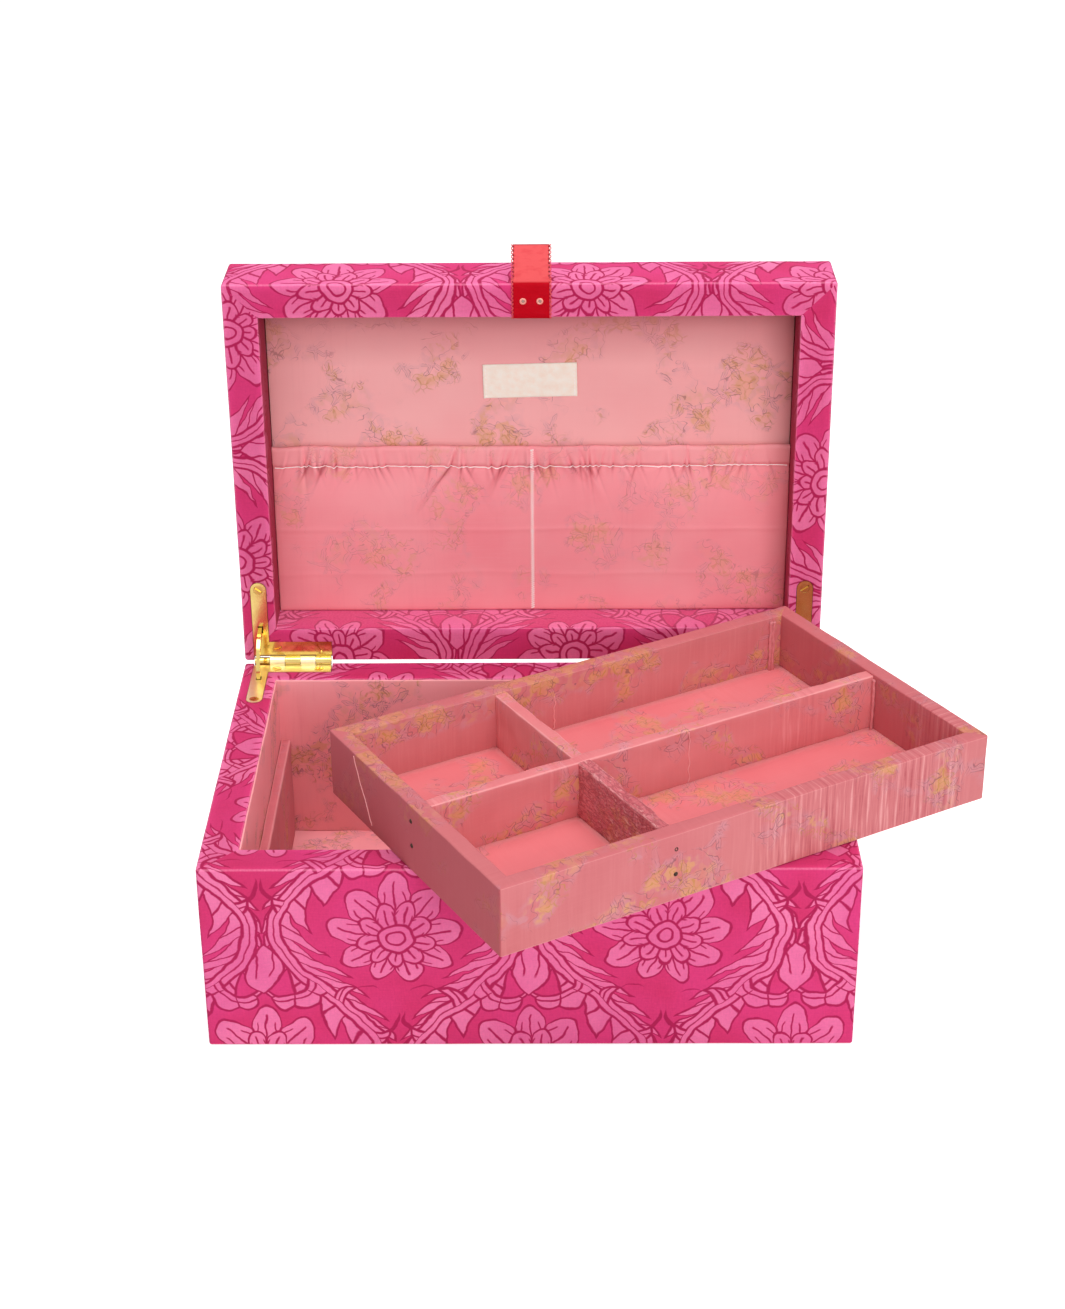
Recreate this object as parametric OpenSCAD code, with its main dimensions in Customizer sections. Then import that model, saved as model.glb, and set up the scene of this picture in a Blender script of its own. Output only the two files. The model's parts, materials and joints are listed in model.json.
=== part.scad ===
// Cloth-covered sewing box: a hinged lid with a gathered pocket, and a lift-out tray.
// The lid stands open at its stop and the tray lies aslant across the rims.
// X is to the right, Y to the back, Z up. The origin is on the table, under the
// middle of the box. Millimetres throughout.

/* [Box] */
// Width of the box over its cloth, left to right
box_w = 280; // [250:1:320]
// Depth of the box over its cloth, front to back
box_d = 190; // [176:1:230]
// Height of the box from the table to the rim
box_h = 90; // [80:1:130]
// Thickness of the wall boards of box and lid
board_t = 14.4; // [12:0.2:16]
// Thickness of the base board
base_t = 3.2; // [3:0.2:6]
// Thickness of the outer cloth
cover_t = 0.8; // [0.4:0.1:1]
// Thickness of the lined cards on the inner walls
liner_t = 2; // [1:0.1:3]
// Thickness of the lined card on the floor
floor_liner_t = 1; // [0.6:0.1:2]
// Thickness of the felt under the box
felt_t = 1.2; // [1.1:0.1:2]
// Width of the cloth turned in under the box, outside the felt
felt_inset = 8; // [5:0.5:12]
// Thickness of the two ledges that carry the tray
ledge_t = 5; // [4:0.2:8]

/* [Lid] */
// Height of the lid from its rim to its top
lid_h = 32; // [30:0.5:50]
// Thickness of the lid's top board
lid_top_t = 4; // [3:0.2:6]
// Gap between the two rims when the lid is shut
lid_gap = 0.8; // [0.7:0.1:1.2]
// Thickness of the padded lining panel in the lid
panel_t = 1.8; // [1:0.1:3]
// Gap between the lining panel and the lid's walls
panel_inset = 1.4; // [0.4:0.1:3]

/* [Pocket] */
// Height of the gathered pocket on the lining panel
pocket_h = 83; // [60:1:95]
// Room between the pocket's cloth and the lining panel
pocket_gap = 5; // [4.6:0.1:6]
// Thickness of the pocket's cloth
pocket_cloth_t = 1.2; // [0.8:0.1:1.5]
// Height of the casing along the pocket's mouth
casing_h = 10; // [8:0.5:14]
// Thickness of the casing with the elastic in it
casing_t = 3; // [2.6:0.1:3.4]
// Width of the seam that parts the pocket in two
seam_w = 2.4; // [1.6:0.2:4]
// Width of the elastic
elastic_w = 6; // [4:0.5:7]
// Thickness of the elastic
elastic_t = 0.8; // [0.5:0.1:1]
// Play of the elastic in its casing
elastic_play = 0.3; // [0.2:0.05:0.4]

/* [Label and ribbon] */
// Width of the woven label
label_w = 44.4; // [30:0.2:60]
// Height of the woven label
label_h = 16.4; // [10:0.2:20]
// Thickness of the woven label
label_t = 0.6; // [0.4:0.1:1]
// Gap from the pocket's mouth up to the label
label_gap = 24; // [12:0.5:26]
// Width of the ribbon pull
ribbon_w = 18.2; // [12:0.2:26]
// Thickness of the ribbon
ribbon_t = 0.4; // [0.3:0.05:0.5]
// Length of the ribbon's tab beyond the rim
ribbon_tab = 17.5; // [10:0.5:30]
// Lean of the tab away from the rim's plane
ribbon_lean = 25; // [5:1:45]
// Sideways place of the ribbon from the middle of the lid
ribbon_x = 1.1; // [-10:0.1:10]
// Radius of the heads of the two ribbon pins
pin_head_r = 1.5; // [1:0.1:2]
// Thickness of those heads
pin_head_t = 0.2; // [0.1:0.05:0.25]
// Radius of the shanks of the ribbon pins
pin_shank_r = 0.5; // [0.4:0.05:0.7]
// Length of the shanks of the ribbon pins
pin_shank_l = 8; // [5:0.5:12]
// Distance between the two ribbon pins
pin_pitch = 7.7; // [5:0.1:10]

/* [Hinges] */
// Radius of the hinge barrels
barrel_r = 3.1; // [2.9:0.1:3.4]
// Distance of the barrel's axis behind the back of the box
barrel_out = 1.4; // [1:0.1:1.6]
// Length of one barrel
barrel_l = 30; // [24:0.5:34]
// Distance from a leaf's outer edge to its barrel
barrel_start = 7.6; // [7.6:0.1:9]
// Number of knuckles in one barrel
knuckles = 4; // [4:2:6]
// Gap between knuckles, and between a leaf and the other leaf's knuckles
knuckle_gap = 0.3; // [0.2:0.05:0.4]
// Radius of the hinge pins
hinge_pin_r = 1.4; // [1.2:0.05:1.5]
// Radial play of the pins in the knuckles
run_fit = 0.05; // [0.03:0.01:0.08]
// Thickness of the hinge leaves
leaf_t = 1.6; // [1.2:0.1:2]
// Distance from the side of the box to a leaf
leaf_inset = 4.6; // [4:0.1:5]
// Width of the leg of a leaf on the side wall
side_leg_w = 7.5; // [7:0.1:8]
// Reach of that leg from the back of the box
side_leg_l = 40.6; // [36:0.2:46]
// Width of the leg of a leaf on the back wall
back_leg_w = 7; // [6.4:0.1:7.6]
// Play of the leaves in their recesses
leaf_play = 0.2; // [0.1:0.05:0.4]
// Play round the barrel in its rebate
barrel_play = 0.5; // [0.4:0.05:0.8]
// Radius of the screw heads
screw_head_r = 2.3; // [1.9:0.1:2.4]
// Radius of the screw shanks
screw_r = 1.1; // [0.9:0.05:1.2]
// Length of the screws
screw_l = 11; // [7:0.5:14]
// Width of the slot in a screw head
screw_slot_w = 0.6; // [0.4:0.1:0.8]
// Depth of the slot in a screw head
screw_slot_d = 0.6; // [0.4:0.1:0.8]
// Depth of a screw head under the face of its leaf
screw_sink = 0.1; // [0.05:0.05:0.2]
// Distance from the start of the barrel to the first screw of a back leg
screw_first = 3.8; // [3:0.1:6]
// Distance from the end of the barrel back to the second screw of that leg
screw_last = 5.6; // [3:0.1:8]

/* [Stay arms] */
// Radius of the stay arms about the hinge axis
stay_r = 17; // [16:0.2:18]
// Width of a stay arm, measured along its radius
stay_w = 3; // [2.4:0.1:3.4]
// Thickness of a stay arm
stay_t = 1.8; // [1.2:0.1:2.2]
// Width of the heads that stop the lid
stay_head_w = 5; // [4.4:0.1:5.6]
// Arc of one head
stay_head_arc = 8; // [6:0.5:10]
// Distance of a head at rest from the inner face of its leaf
stay_head_gap = 0.25; // [0.1:0.05:0.5]
// Arc of a mortise past the head of an arm that has slid all the way in
stay_spare_arc = 4; // [2:0.5:8]
// Play of the stay arms in their slots and mortises
stay_play = 0.4; // [0.3:0.05:0.6]

/* [Tray] */
// Play between the ends of the tray and the lined walls
tray_end_play = 1.3; // [0.8:0.1:3]
// Play between the sides of the tray and the lined walls
tray_side_play = 2.3; // [0.8:0.1:4]
// Height of the tray
tray_h = 32; // [24:0.5:40]
// Depth of the seated tray's edge under the rim
tray_sink = 0.8; // [0.4:0.1:4]
// Thickness of the tray's walls
tray_wall_t = 7.5; // [5:0.1:9]
// Thickness of the tray's base
tray_base_t = 3; // [2:0.1:5]
// Thickness of the cloth laid in the compartments
tray_cloth_t = 0.8; // [0.4:0.1:1.5]
// Thickness of the two dividers
divider_t = 6; // [4:0.1:8]
// Depth of the dividers' edges under the tray's edge
divider_drop = 1; // [0.4:0.1:4]
// Play in the halved joint of the dividers
halving_play = 0.1; // [0.05:0.05:0.3]
// Distance from the tray's front to the middle of the long divider
long_divider_at = 74.5; // [50:0.5:90]
// Distance from the tray's left end to the middle of the cross divider
cross_divider_at = 82; // [50:0.5:150]
// Radius of the nail shanks
nail_r = 0.6; // [0.4:0.05:0.8]
// Radius of the nail heads
nail_head_r = 1; // [0.8:0.05:1.4]
// Length of the nails
nail_l = 20; // [14:0.5:26]
// Height of the lower nail of each pair
nail_low = 12.9; // [8:0.1:15]
// Height between the two nails of a pair
nail_pitch = 11.8; // [8:0.1:14]

/* [Pose] */
// Angle of the open lid from shut
open_angle = 90; // [86:1:94]
// Turn of the tray where it lies across the rims
tray_yaw = 30.5; // [26:0.5:34]
// Distance of the tray's far corner from the right side of the box
tray_corner_x = 18; // [18:0.5:24]
// Distance of the tray's far corner from the back of the box
tray_corner_y = 3; // [3:0.5:6]

/* [Hidden] */
$fn = 64;

eps = 0.5;                                   // how far a cut runs past a face
wall = cover_t + board_t;                    // from the cloth's face to the board's inner face
rim_w = wall + liner_t;                      // width of the box's rim
lid_rim_w = wall + cover_t;                  // width of the lid's rim
half_w = box_w / 2;
half_d = box_d / 2;
cavity_w = box_w - 2 * rim_w;
cavity_d = box_d - 2 * rim_w;
board_z0 = felt_t;                           // underside of the boards
board_z1 = box_h - cover_t;
floor_z = board_z0 + base_t + floor_liner_t; // lined floor of the box
ledge_z = box_h - tray_sink - tray_h;        // tops of the ledges
soft_gap = 0.3;                              // between cloth pieces and their neighbours

lid_z0 = box_h + lid_gap;                    // the shut lid's rim
lid_z1 = lid_z0 + lid_h;                     // the shut lid's top
top_board_z = lid_z1 - cover_t - lid_top_t;
panel_z = top_board_z - panel_t;             // face of the lining panel
panel_x = half_w - lid_rim_w - panel_inset;
panel_y = half_d - lid_rim_w - panel_inset;
pocket_x = panel_x - soft_gap;
pocket_y1 = panel_y - soft_gap;              // the pocket's closed edge, next to the hinges
pocket_y0 = pocket_y1 - pocket_h;            // the pocket's mouth
pocket_z = panel_z - pocket_gap - pocket_cloth_t;
casing_z = panel_z - pocket_gap - casing_t;
casing_mid_z = casing_z + casing_t / 2;
label_y1 = pocket_y0 - label_gap;            // the label's edge nearest the pocket

axis_y = half_d + barrel_out;                // hinge axis
axis_z = box_h + lid_gap / 2;
leaf_mid_u = leaf_inset + side_leg_w / 2;    // the stay's place in from the side
leg_v0 = barrel_r - barrel_out + knuckle_gap;
leg_v1 = leg_v0 + back_leg_w;
screw_v = (leg_v0 + leg_v1) / 2;
back_leg_l = barrel_start + barrel_l + knuckle_gap;
knuckle_l = barrel_l / knuckles;
stay_under = lid_gap / 2 + leaf_t + stay_head_gap; // a head lies this far under the hinge plane
stay_head_at = asin(stay_under / (stay_r - stay_head_w / 2));
stay_reach = stay_head_at + stay_head_arc;   // arc inside each rim at rest
mortise_reach = stay_reach + open_angle / 2 + stay_spare_arc;
mouth_arc = 3;                               // a mortise's cut runs this far out of the rim

tray_l = cavity_w - 2 * tray_end_play;
tray_w = cavity_d - 2 * tray_side_play;
tray_corner = [half_w - tray_corner_x, half_d - tray_corner_y];
tray_mid = tray_corner - [cos(tray_yaw) * tray_l / 2 - sin(tray_yaw) * tray_w / 2,
                          sin(tray_yaw) * tray_l / 2 + cos(tray_yaw) * tray_w / 2];
tray_floor_z = tray_base_t + tray_cloth_t;
divider_z1 = tray_h - divider_drop;
divider_mid_z = (tray_base_t + divider_z1) / 2;
long_y = long_divider_at - tray_w / 2;
cross_x = cross_divider_at - tray_l / 2;
nail_z = [nail_low, nail_low + nail_pitch];
fastener_fit = 0.05;                         // round screws, nails and pins
screw_turns = [35, -20, 64];                 // where the slots of one leaf's screws came to rest

cloth = [0.86, 0.29, 0.49];
cloth_dark = [0.7, 0.1, 0.27];
lining = [0.93, 0.6, 0.62];
lining_shade = [0.85, 0.45, 0.47];
bare_board = [0.78, 0.66, 0.5];
brass = [0.88, 0.72, 0.33];
satin_red = [0.77, 0.04, 0.12];
cream = [0.94, 0.89, 0.82];
steel = [0.5, 0.45, 0.42];
felt_grey = [0.35, 0.12, 0.2];

// A block between two opposite corners.
module block(lo, hi) translate(lo) cube(hi - lo);

// A block centred on the Z axis in X and Y.
module centred_block(x, y, z0, z1) block([-x, -y, z0], [x, y, z1]);

// Children as they are and mirrored to the other side of the box.
module both_sides() {
    children();
    mirror([1, 0, 0]) children();
}

// Lid pieces are drawn on the shut lid and turned open about the hinge axis.
module opened() translate([0, axis_y, axis_z]) rotate([-open_angle, 0, 0])
    translate([0, -axis_y, -axis_z]) children();

// Rim fittings are drawn on the box's rim; for the lid they are turned over.
module turned_over() translate([0, 0, axis_z]) mirror([0, 0, 1]) translate([0, 0, -axis_z]) children();

module tray_pose() translate([tray_mid.x, tray_mid.y, box_h]) rotate([0, 0, tray_yaw]) children();

// A flat ring piece round the hinge axis. Angles start at the front and rise over the rim.
module ring_piece(r0, r1, thick, a0, a1) rotate([90, 0, -90]) rotate([0, 0, a0])
    rotate_extrude(angle = a1 - a0) translate([r0, -thick / 2]) square([r1 - r0, thick]);

// A cylinder along X from x0 to x1 on the hinge axis.
module axis_rod(r, x0, x1) translate([x0, axis_y, axis_z]) rotate([0, 90, 0]) cylinder(r = r, h = x1 - x0);

// ---- hinge shapes, drawn for the left side of the box ----

function leaf_x(u) = -half_w + u;
function leaf_y(v) = half_d - v;

// Places of the three screws of one leaf.
screw_spots = [[leaf_x(leaf_mid_u), leaf_y(side_leg_l - side_leg_w / 2)],
               [leaf_x(leaf_inset + barrel_start + screw_first), leaf_y(screw_v)],
               [leaf_x(leaf_inset + barrel_start + barrel_l - screw_last), leaf_y(screw_v)]];

module leaf_outline(play) {
    tip_y = leaf_y(side_leg_l - side_leg_w / 2);
    translate([leaf_x(leaf_inset) - play, tip_y])
        square([side_leg_w + 2 * play, leaf_y(leg_v0) - tip_y]);
    translate([leaf_x(leaf_mid_u), tip_y]) circle(r = side_leg_w / 2 + play);
    translate([leaf_x(leaf_inset) - play, leaf_y(leg_v1) - play])
        square([back_leg_l + 2 * play, back_leg_w + play]);
}

module stay_slot(grow) translate([leaf_x(leaf_mid_u) - stay_t / 2 - grow,
    leaf_y(stay_r - barrel_out) - stay_w / 2 - grow]) square([stay_t + 2 * grow, stay_w + 2 * grow]);

// One leaf with every second knuckle, from number first on.
module leaf(first) difference() {
    union() {
        translate([0, 0, box_h - leaf_t]) linear_extrude(leaf_t) difference() {
            leaf_outline(0);
            stay_slot(stay_play);
        }
        for (i = [first : 2 : knuckles - 1]) {
            x0 = leaf_x(leaf_inset + barrel_start + i * knuckle_l) + knuckle_gap / 2;
            x1 = x0 + knuckle_l - knuckle_gap;
            axis_rod(barrel_r, x0, x1);
            block([x0, leaf_y(leg_v0) - eps, box_h - leaf_t], [x1, axis_y, box_h]);
        }
    }
    axis_rod(hinge_pin_r + run_fit, leaf_x(leaf_inset), leaf_x(leaf_inset + back_leg_l + eps));
    for (p = screw_spots) translate([p.x, p.y, box_h]) screw_sinking(fastener_fit);
}

// The countersunk hole of one screw, or its head and shank, grown by a fit.
module screw_sinking(fit) {
    head_h = screw_head_r - screw_r;
    translate([0, 0, -screw_sink - head_h]) cylinder(r1 = screw_r + fit, r2 = screw_head_r + fit, h = head_h);
    translate([0, 0, -screw_sink]) cylinder(r = screw_head_r + fit, h = screw_sink + eps);
    translate([0, 0, -screw_l - fit]) cylinder(r = screw_r + fit, h = screw_l + fit - screw_sink);
}

module screw() difference() {
    union() {
        head_h = screw_head_r - screw_r;
        translate([0, 0, -screw_sink - head_h]) cylinder(r1 = screw_r, r2 = screw_head_r, h = head_h);
        translate([0, 0, -screw_l]) cylinder(r = screw_r, h = screw_l - screw_sink - head_h);
    }
    block([-screw_head_r, -screw_slot_w / 2, -screw_sink - screw_slot_d],
        [screw_head_r, screw_slot_w / 2, eps]);
}

module leaf_screws() both_sides() for (i = [0 : len(screw_spots) - 1])
    translate([screw_spots[i].x, screw_spots[i].y, box_h]) rotate([0, 0, screw_turns[i]]) screw();

// What one hinge takes out of the rim under it: recess, rebate, stay mortise and screw holes.
module hinge_cuts() both_sides() {
    translate([0, 0, box_h - leaf_t]) linear_extrude(leaf_t + eps) leaf_outline(leaf_play);
    x0 = leaf_x(leaf_inset + barrel_start) - barrel_play;
    x1 = leaf_x(leaf_inset + barrel_start + barrel_l) + barrel_play;
    axis_rod(barrel_r + barrel_play, x0, x1);
    block([x0, leaf_y(leg_v0) - eps, box_h - leaf_t], [x1, half_d + eps, box_h + eps]);
    translate([leaf_x(leaf_mid_u), axis_y, axis_z]) ring_piece(stay_r - stay_head_w / 2 - stay_play,
        stay_r + stay_head_w / 2 + stay_play, stay_t + 2 * stay_play, -mortise_reach, mouth_arc);
    for (p = screw_spots) translate([p.x, p.y, box_h - screw_l - fastener_fit])
        cylinder(r = screw_r + fastener_fit, h = screw_l + fastener_fit + eps);
}

module lid_hinge_cuts() turned_over() hinge_cuts();

// ---- box ----

module wall_ring(z0, z1) difference() {
    centred_block(half_w - cover_t, half_d - cover_t, z0, z1);
    centred_block(half_w - wall, half_d - wall, z0 - eps, z1 + eps);
}

module box_long_board() block([-half_w + cover_t, -half_d + cover_t, board_z0],
    [half_w - cover_t, -half_d + wall, board_z1]);

module box_side_board() block([-half_w + cover_t, -half_d + wall, board_z0],
    [-half_w + wall, half_d - wall, board_z1]);

module front_board() color(bare_board) box_long_board();

module back_board() color(bare_board) difference() {
    mirror([0, 1, 0]) box_long_board();
    hinge_cuts();
}

module left_board() color(bare_board) difference() {
    box_side_board();
    hinge_cuts();
}

module right_board() color(bare_board) mirror([1, 0, 0]) left_board();

module base_board() color(bare_board)
    centred_block(half_w - wall, half_d - wall, board_z0, board_z0 + base_t);

module body_cover() color(cloth) difference() {
    centred_block(half_w, half_d, board_z0 - cover_t, box_h);
    centred_block(half_w - cover_t, half_d - cover_t, board_z0, board_z1);
    centred_block(cavity_w / 2, cavity_d / 2, board_z0, box_h + eps);
    centred_block(half_w - felt_inset, half_d - felt_inset, 0, board_z0 + eps);
    hinge_cuts();
}

module base_felt() color(felt_grey)
    centred_block(half_w - felt_inset, half_d - felt_inset, 0, felt_t);

module long_liner() block([-half_w + wall, -half_d + wall, board_z0 + base_t],
    [half_w - wall, -half_d + rim_w, board_z1]);

module side_liner() block([-half_w + wall, -cavity_d / 2, board_z0 + base_t],
    [-half_w + rim_w, cavity_d / 2, board_z1]);

module front_liner() color(lining) long_liner();
module back_liner() color(lining) mirror([0, 1, 0]) long_liner();
module left_liner() color(lining) side_liner();
module right_liner() color(lining) mirror([1, 0, 0]) side_liner();

module floor_liner() color(lining)
    centred_block(cavity_w / 2, cavity_d / 2, board_z0 + base_t, floor_z);

module left_ledge() color(lining_shade)
    block([-cavity_w / 2, -cavity_d / 2, floor_z], [-cavity_w / 2 + ledge_t, cavity_d / 2, ledge_z]);

module right_ledge() color(lining_shade) mirror([1, 0, 0]) left_ledge();

// ---- hinges ----

module left_box_leaf() color(brass) leaf(0);
module right_box_leaf() color(brass) mirror([1, 0, 0]) leaf(0);
module left_lid_leaf() color(brass) opened() turned_over() leaf(1);
module right_lid_leaf() color(brass) opened() turned_over() mirror([1, 0, 0]) leaf(1);
module left_hinge_pin() color(brass) axis_rod(hinge_pin_r, leaf_x(leaf_inset + barrel_start),
    leaf_x(leaf_inset + barrel_start + barrel_l));
module right_hinge_pin() color(brass) mirror([1, 0, 0]) left_hinge_pin();
module box_leaf_screws() color(brass) leaf_screws();
module lid_leaf_screws() color(brass) opened() turned_over() leaf_screws();

// A stay arm: an arc about the hinge axis, with a head at each end inside the rims.
module stay_arm() translate([leaf_x(leaf_mid_u), axis_y, axis_z]) {
    ring_piece(stay_r - stay_w / 2, stay_r + stay_w / 2, stay_t, -stay_reach, open_angle + stay_reach);
    for (a = [-stay_reach, open_angle + stay_head_at])
        ring_piece(stay_r - stay_head_w / 2, stay_r + stay_head_w / 2, stay_t, a, a + stay_head_arc);
}

module left_stay_arm() color(brass) stay_arm();
module right_stay_arm() color(brass) mirror([1, 0, 0]) stay_arm();

// ---- lid, drawn shut ----

module lid_long_board() block([-half_w + cover_t, -half_d + cover_t, lid_z0 + cover_t],
    [half_w - cover_t, -half_d + wall, top_board_z]);

module lid_side_board() difference() {
    block([-half_w + cover_t, -half_d + wall, lid_z0 + cover_t],
        [-half_w + wall, half_d - wall, top_board_z]);
    lid_hinge_cuts();
}

module lid_top_board() color(bare_board) opened()
    centred_block(half_w - cover_t, half_d - cover_t, top_board_z, lid_z1 - cover_t);

module lid_front_board() color(bare_board) opened() difference() {
    lid_long_board();
    ribbon_pin_set(fastener_fit);
}

module lid_back_board() color(bare_board) opened() difference() {
    mirror([0, 1, 0]) lid_long_board();
    lid_hinge_cuts();
}

module lid_left_board() color(bare_board) opened() lid_side_board();
module lid_right_board() color(bare_board) opened() mirror([1, 0, 0]) lid_side_board();

module lid_cover() color(cloth) opened() difference() {
    centred_block(half_w, half_d, lid_z0, lid_z1);
    centred_block(half_w - lid_rim_w, half_d - lid_rim_w, lid_z0 - eps, top_board_z);
    wall_ring(lid_z0 + cover_t, top_board_z);
    centred_block(half_w - cover_t, half_d - cover_t, top_board_z, lid_z1 - cover_t);
    lid_hinge_cuts();
    ribbon_pin_set(fastener_fit);
}

module lid_lining_panel() color(lining) opened()
    centred_block(panel_x, panel_y, panel_z, top_board_z);

// The pocket: a cloth front closed at the sides, the foot and the middle seam, with a
// casing along its mouth.
module lid_pocket() color(lining_shade) opened() difference() {
    union() {
        block([-pocket_x, pocket_y0, pocket_z], [pocket_x, pocket_y1, panel_z]);
        block([-pocket_x, pocket_y0, casing_z], [pocket_x, pocket_y0 + casing_h, panel_z - pocket_gap]);
    }
    both_sides() block([-pocket_x + pocket_cloth_t, pocket_y0 - eps, panel_z - pocket_gap],
        [-seam_w / 2, pocket_y1 - pocket_cloth_t, panel_z + eps]);
    elastic(elastic_play);
}

module elastic(play) block(
    [-pocket_x + pocket_cloth_t - play, pocket_y0 + (casing_h - elastic_w) / 2 - play,
        casing_mid_z - elastic_t / 2 - play],
    [pocket_x - pocket_cloth_t + play, pocket_y0 + (casing_h + elastic_w) / 2 + play,
        casing_mid_z + elastic_t / 2 + play]);

module pocket_elastic() color(cream) opened() elastic(0);

module woven_label() color(cream) opened()
    block([-label_w / 2, label_y1 - label_h, panel_z - label_t], [label_w / 2, label_y1, panel_z]);

// The ribbon lies on the front rim, then stands out past it as a doubled tab.
module pull_ribbon() color(satin_red) opened() difference() {
    tab = [-cos(ribbon_lean), sin(ribbon_lean)] * ribbon_tab;
    thick = [-sin(ribbon_lean), -cos(ribbon_lean)] * 2 * ribbon_t;
    bend = ribbon_t * tan((90 - ribbon_lean) / 2);
    corner = [-half_d, lid_z0];
    translate([ribbon_x - ribbon_w / 2, 0, 0]) rotate([90, 0, 90]) linear_extrude(ribbon_w) polygon([
        [-half_d + lid_rim_w, lid_z0], corner, corner + tab, corner + tab + thick,
        corner + thick + [-bend, 0], [-half_d, lid_z0 - ribbon_t], [-half_d + lid_rim_w, lid_z0 - ribbon_t]]);
    ribbon_pin_set(fastener_fit);
}

// The two pins through the ribbon into the lid's front board, grown by a fit.
module ribbon_pin_set(fit) for (s = [-1, 1])
    translate([ribbon_x + s * pin_pitch / 2, -half_d + lid_rim_w / 2, lid_z0 - ribbon_t])
        cylinder(r = pin_shank_r + fit, h = pin_shank_l + fit);

module ribbon_pins() color(cream) opened() for (s = [-1, 1])
    translate([ribbon_x + s * pin_pitch / 2, -half_d + lid_rim_w / 2, lid_z0 - ribbon_t]) {
        translate([0, 0, -pin_head_t]) cylinder(r = pin_head_r, h = pin_head_t);
        cylinder(r = pin_shank_r, h = pin_shank_l);
    }

// ---- tray, drawn about its own middle, with its underside at zero ----

module tray_long_wall() block([-tray_l / 2, -tray_w / 2, 0],
    [tray_l / 2, -tray_w / 2 + tray_wall_t, tray_h]);

module tray_side_wall() block([-tray_l / 2, -tray_w / 2 + tray_wall_t, 0],
    [-tray_l / 2 + tray_wall_t, tray_w / 2 - tray_wall_t, tray_h]);

module tray_front_board() color(lining_shade) tray_pose() difference() {
    tray_long_wall();
    front_nails(fastener_fit);
}

module tray_back_board() color(lining_shade) tray_pose() mirror([0, 1, 0]) tray_long_wall();

module tray_left_board() color(lining_shade) tray_pose() difference() {
    tray_side_wall();
    left_nails(fastener_fit);
}

module tray_right_board() color(lining_shade) tray_pose() mirror([1, 0, 0]) tray_side_wall();

module tray_base() color(lining_shade) tray_pose()
    centred_block(tray_l / 2 - tray_wall_t, tray_w / 2 - tray_wall_t, 0, tray_base_t);

// The dividers cross in a halved joint: the long one is cut from above, the short one from below.
module long_divider() color(lining) tray_pose() difference() {
    block([-tray_l / 2 + tray_wall_t, long_y - divider_t / 2, tray_base_t],
        [tray_l / 2 - tray_wall_t, long_y + divider_t / 2, divider_z1]);
    block([cross_x - divider_t / 2 - halving_play, long_y - divider_t, divider_mid_z - halving_play],
        [cross_x + divider_t / 2 + halving_play, long_y + divider_t, tray_h]);
    left_nails(fastener_fit);
}

module cross_divider() color(lining) tray_pose() difference() {
    block([cross_x - divider_t / 2, -tray_w / 2 + tray_wall_t, tray_base_t],
        [cross_x + divider_t / 2, tray_w / 2 - tray_wall_t, divider_z1]);
    block([cross_x - divider_t, long_y - divider_t / 2 - halving_play, 0],
        [cross_x + divider_t, long_y + divider_t / 2 + halving_play, divider_mid_z]);
    front_nails(fastener_fit);
}

module tray_floor_cloth() color(lining) tray_pose() difference() {
    centred_block(tray_l / 2 - tray_wall_t, tray_w / 2 - tray_wall_t, tray_base_t, tray_floor_z);
    block([-tray_l / 2, long_y - divider_t / 2, 0], [tray_l / 2, long_y + divider_t / 2, tray_h]);
    block([cross_x - divider_t / 2, -tray_w / 2, 0], [cross_x + divider_t / 2, tray_w / 2, tray_h]);
}

// A nail along +X from the outside of a wall, grown by a fit.
module nail(fit) rotate([0, 90, 0]) {
    cylinder(r = nail_r + fit, h = nail_l + fit);
    translate([0, 0, -fit]) cylinder(r = nail_head_r + fit, h = nail_r + fit);
}

module left_nails(fit) for (z = nail_z) translate([-tray_l / 2, long_y, z]) nail(fit);

module front_nails(fit) for (z = nail_z) translate([cross_x, -tray_w / 2, z]) rotate([0, 0, 90]) nail(fit);

module tray_nails() color(steel) tray_pose() {
    left_nails(0);
    front_nails(0);
}

front_board();
back_board();
left_board();
right_board();
base_board();
body_cover();
base_felt();
front_liner();
back_liner();
left_liner();
right_liner();
floor_liner();
left_ledge();
right_ledge();
left_box_leaf();
right_box_leaf();
left_hinge_pin();
right_hinge_pin();
box_leaf_screws();
lid_top_board();
lid_front_board();
lid_back_board();
lid_left_board();
lid_right_board();
lid_cover();
lid_lining_panel();
lid_pocket();
pocket_elastic();
woven_label();
pull_ribbon();
ribbon_pins();
left_lid_leaf();
right_lid_leaf();
lid_leaf_screws();
left_stay_arm();
right_stay_arm();
tray_front_board();
tray_back_board();
tray_left_board();
tray_right_board();
tray_base();
long_divider();
cross_divider();
tray_floor_cloth();
tray_nails();
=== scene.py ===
# Looks of a cloth-covered sewing box with a lift-out tray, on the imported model.
import bpy
import bmesh
import json
import math
import numpy as np
from mathutils import Matrix, Vector, noise


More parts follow.
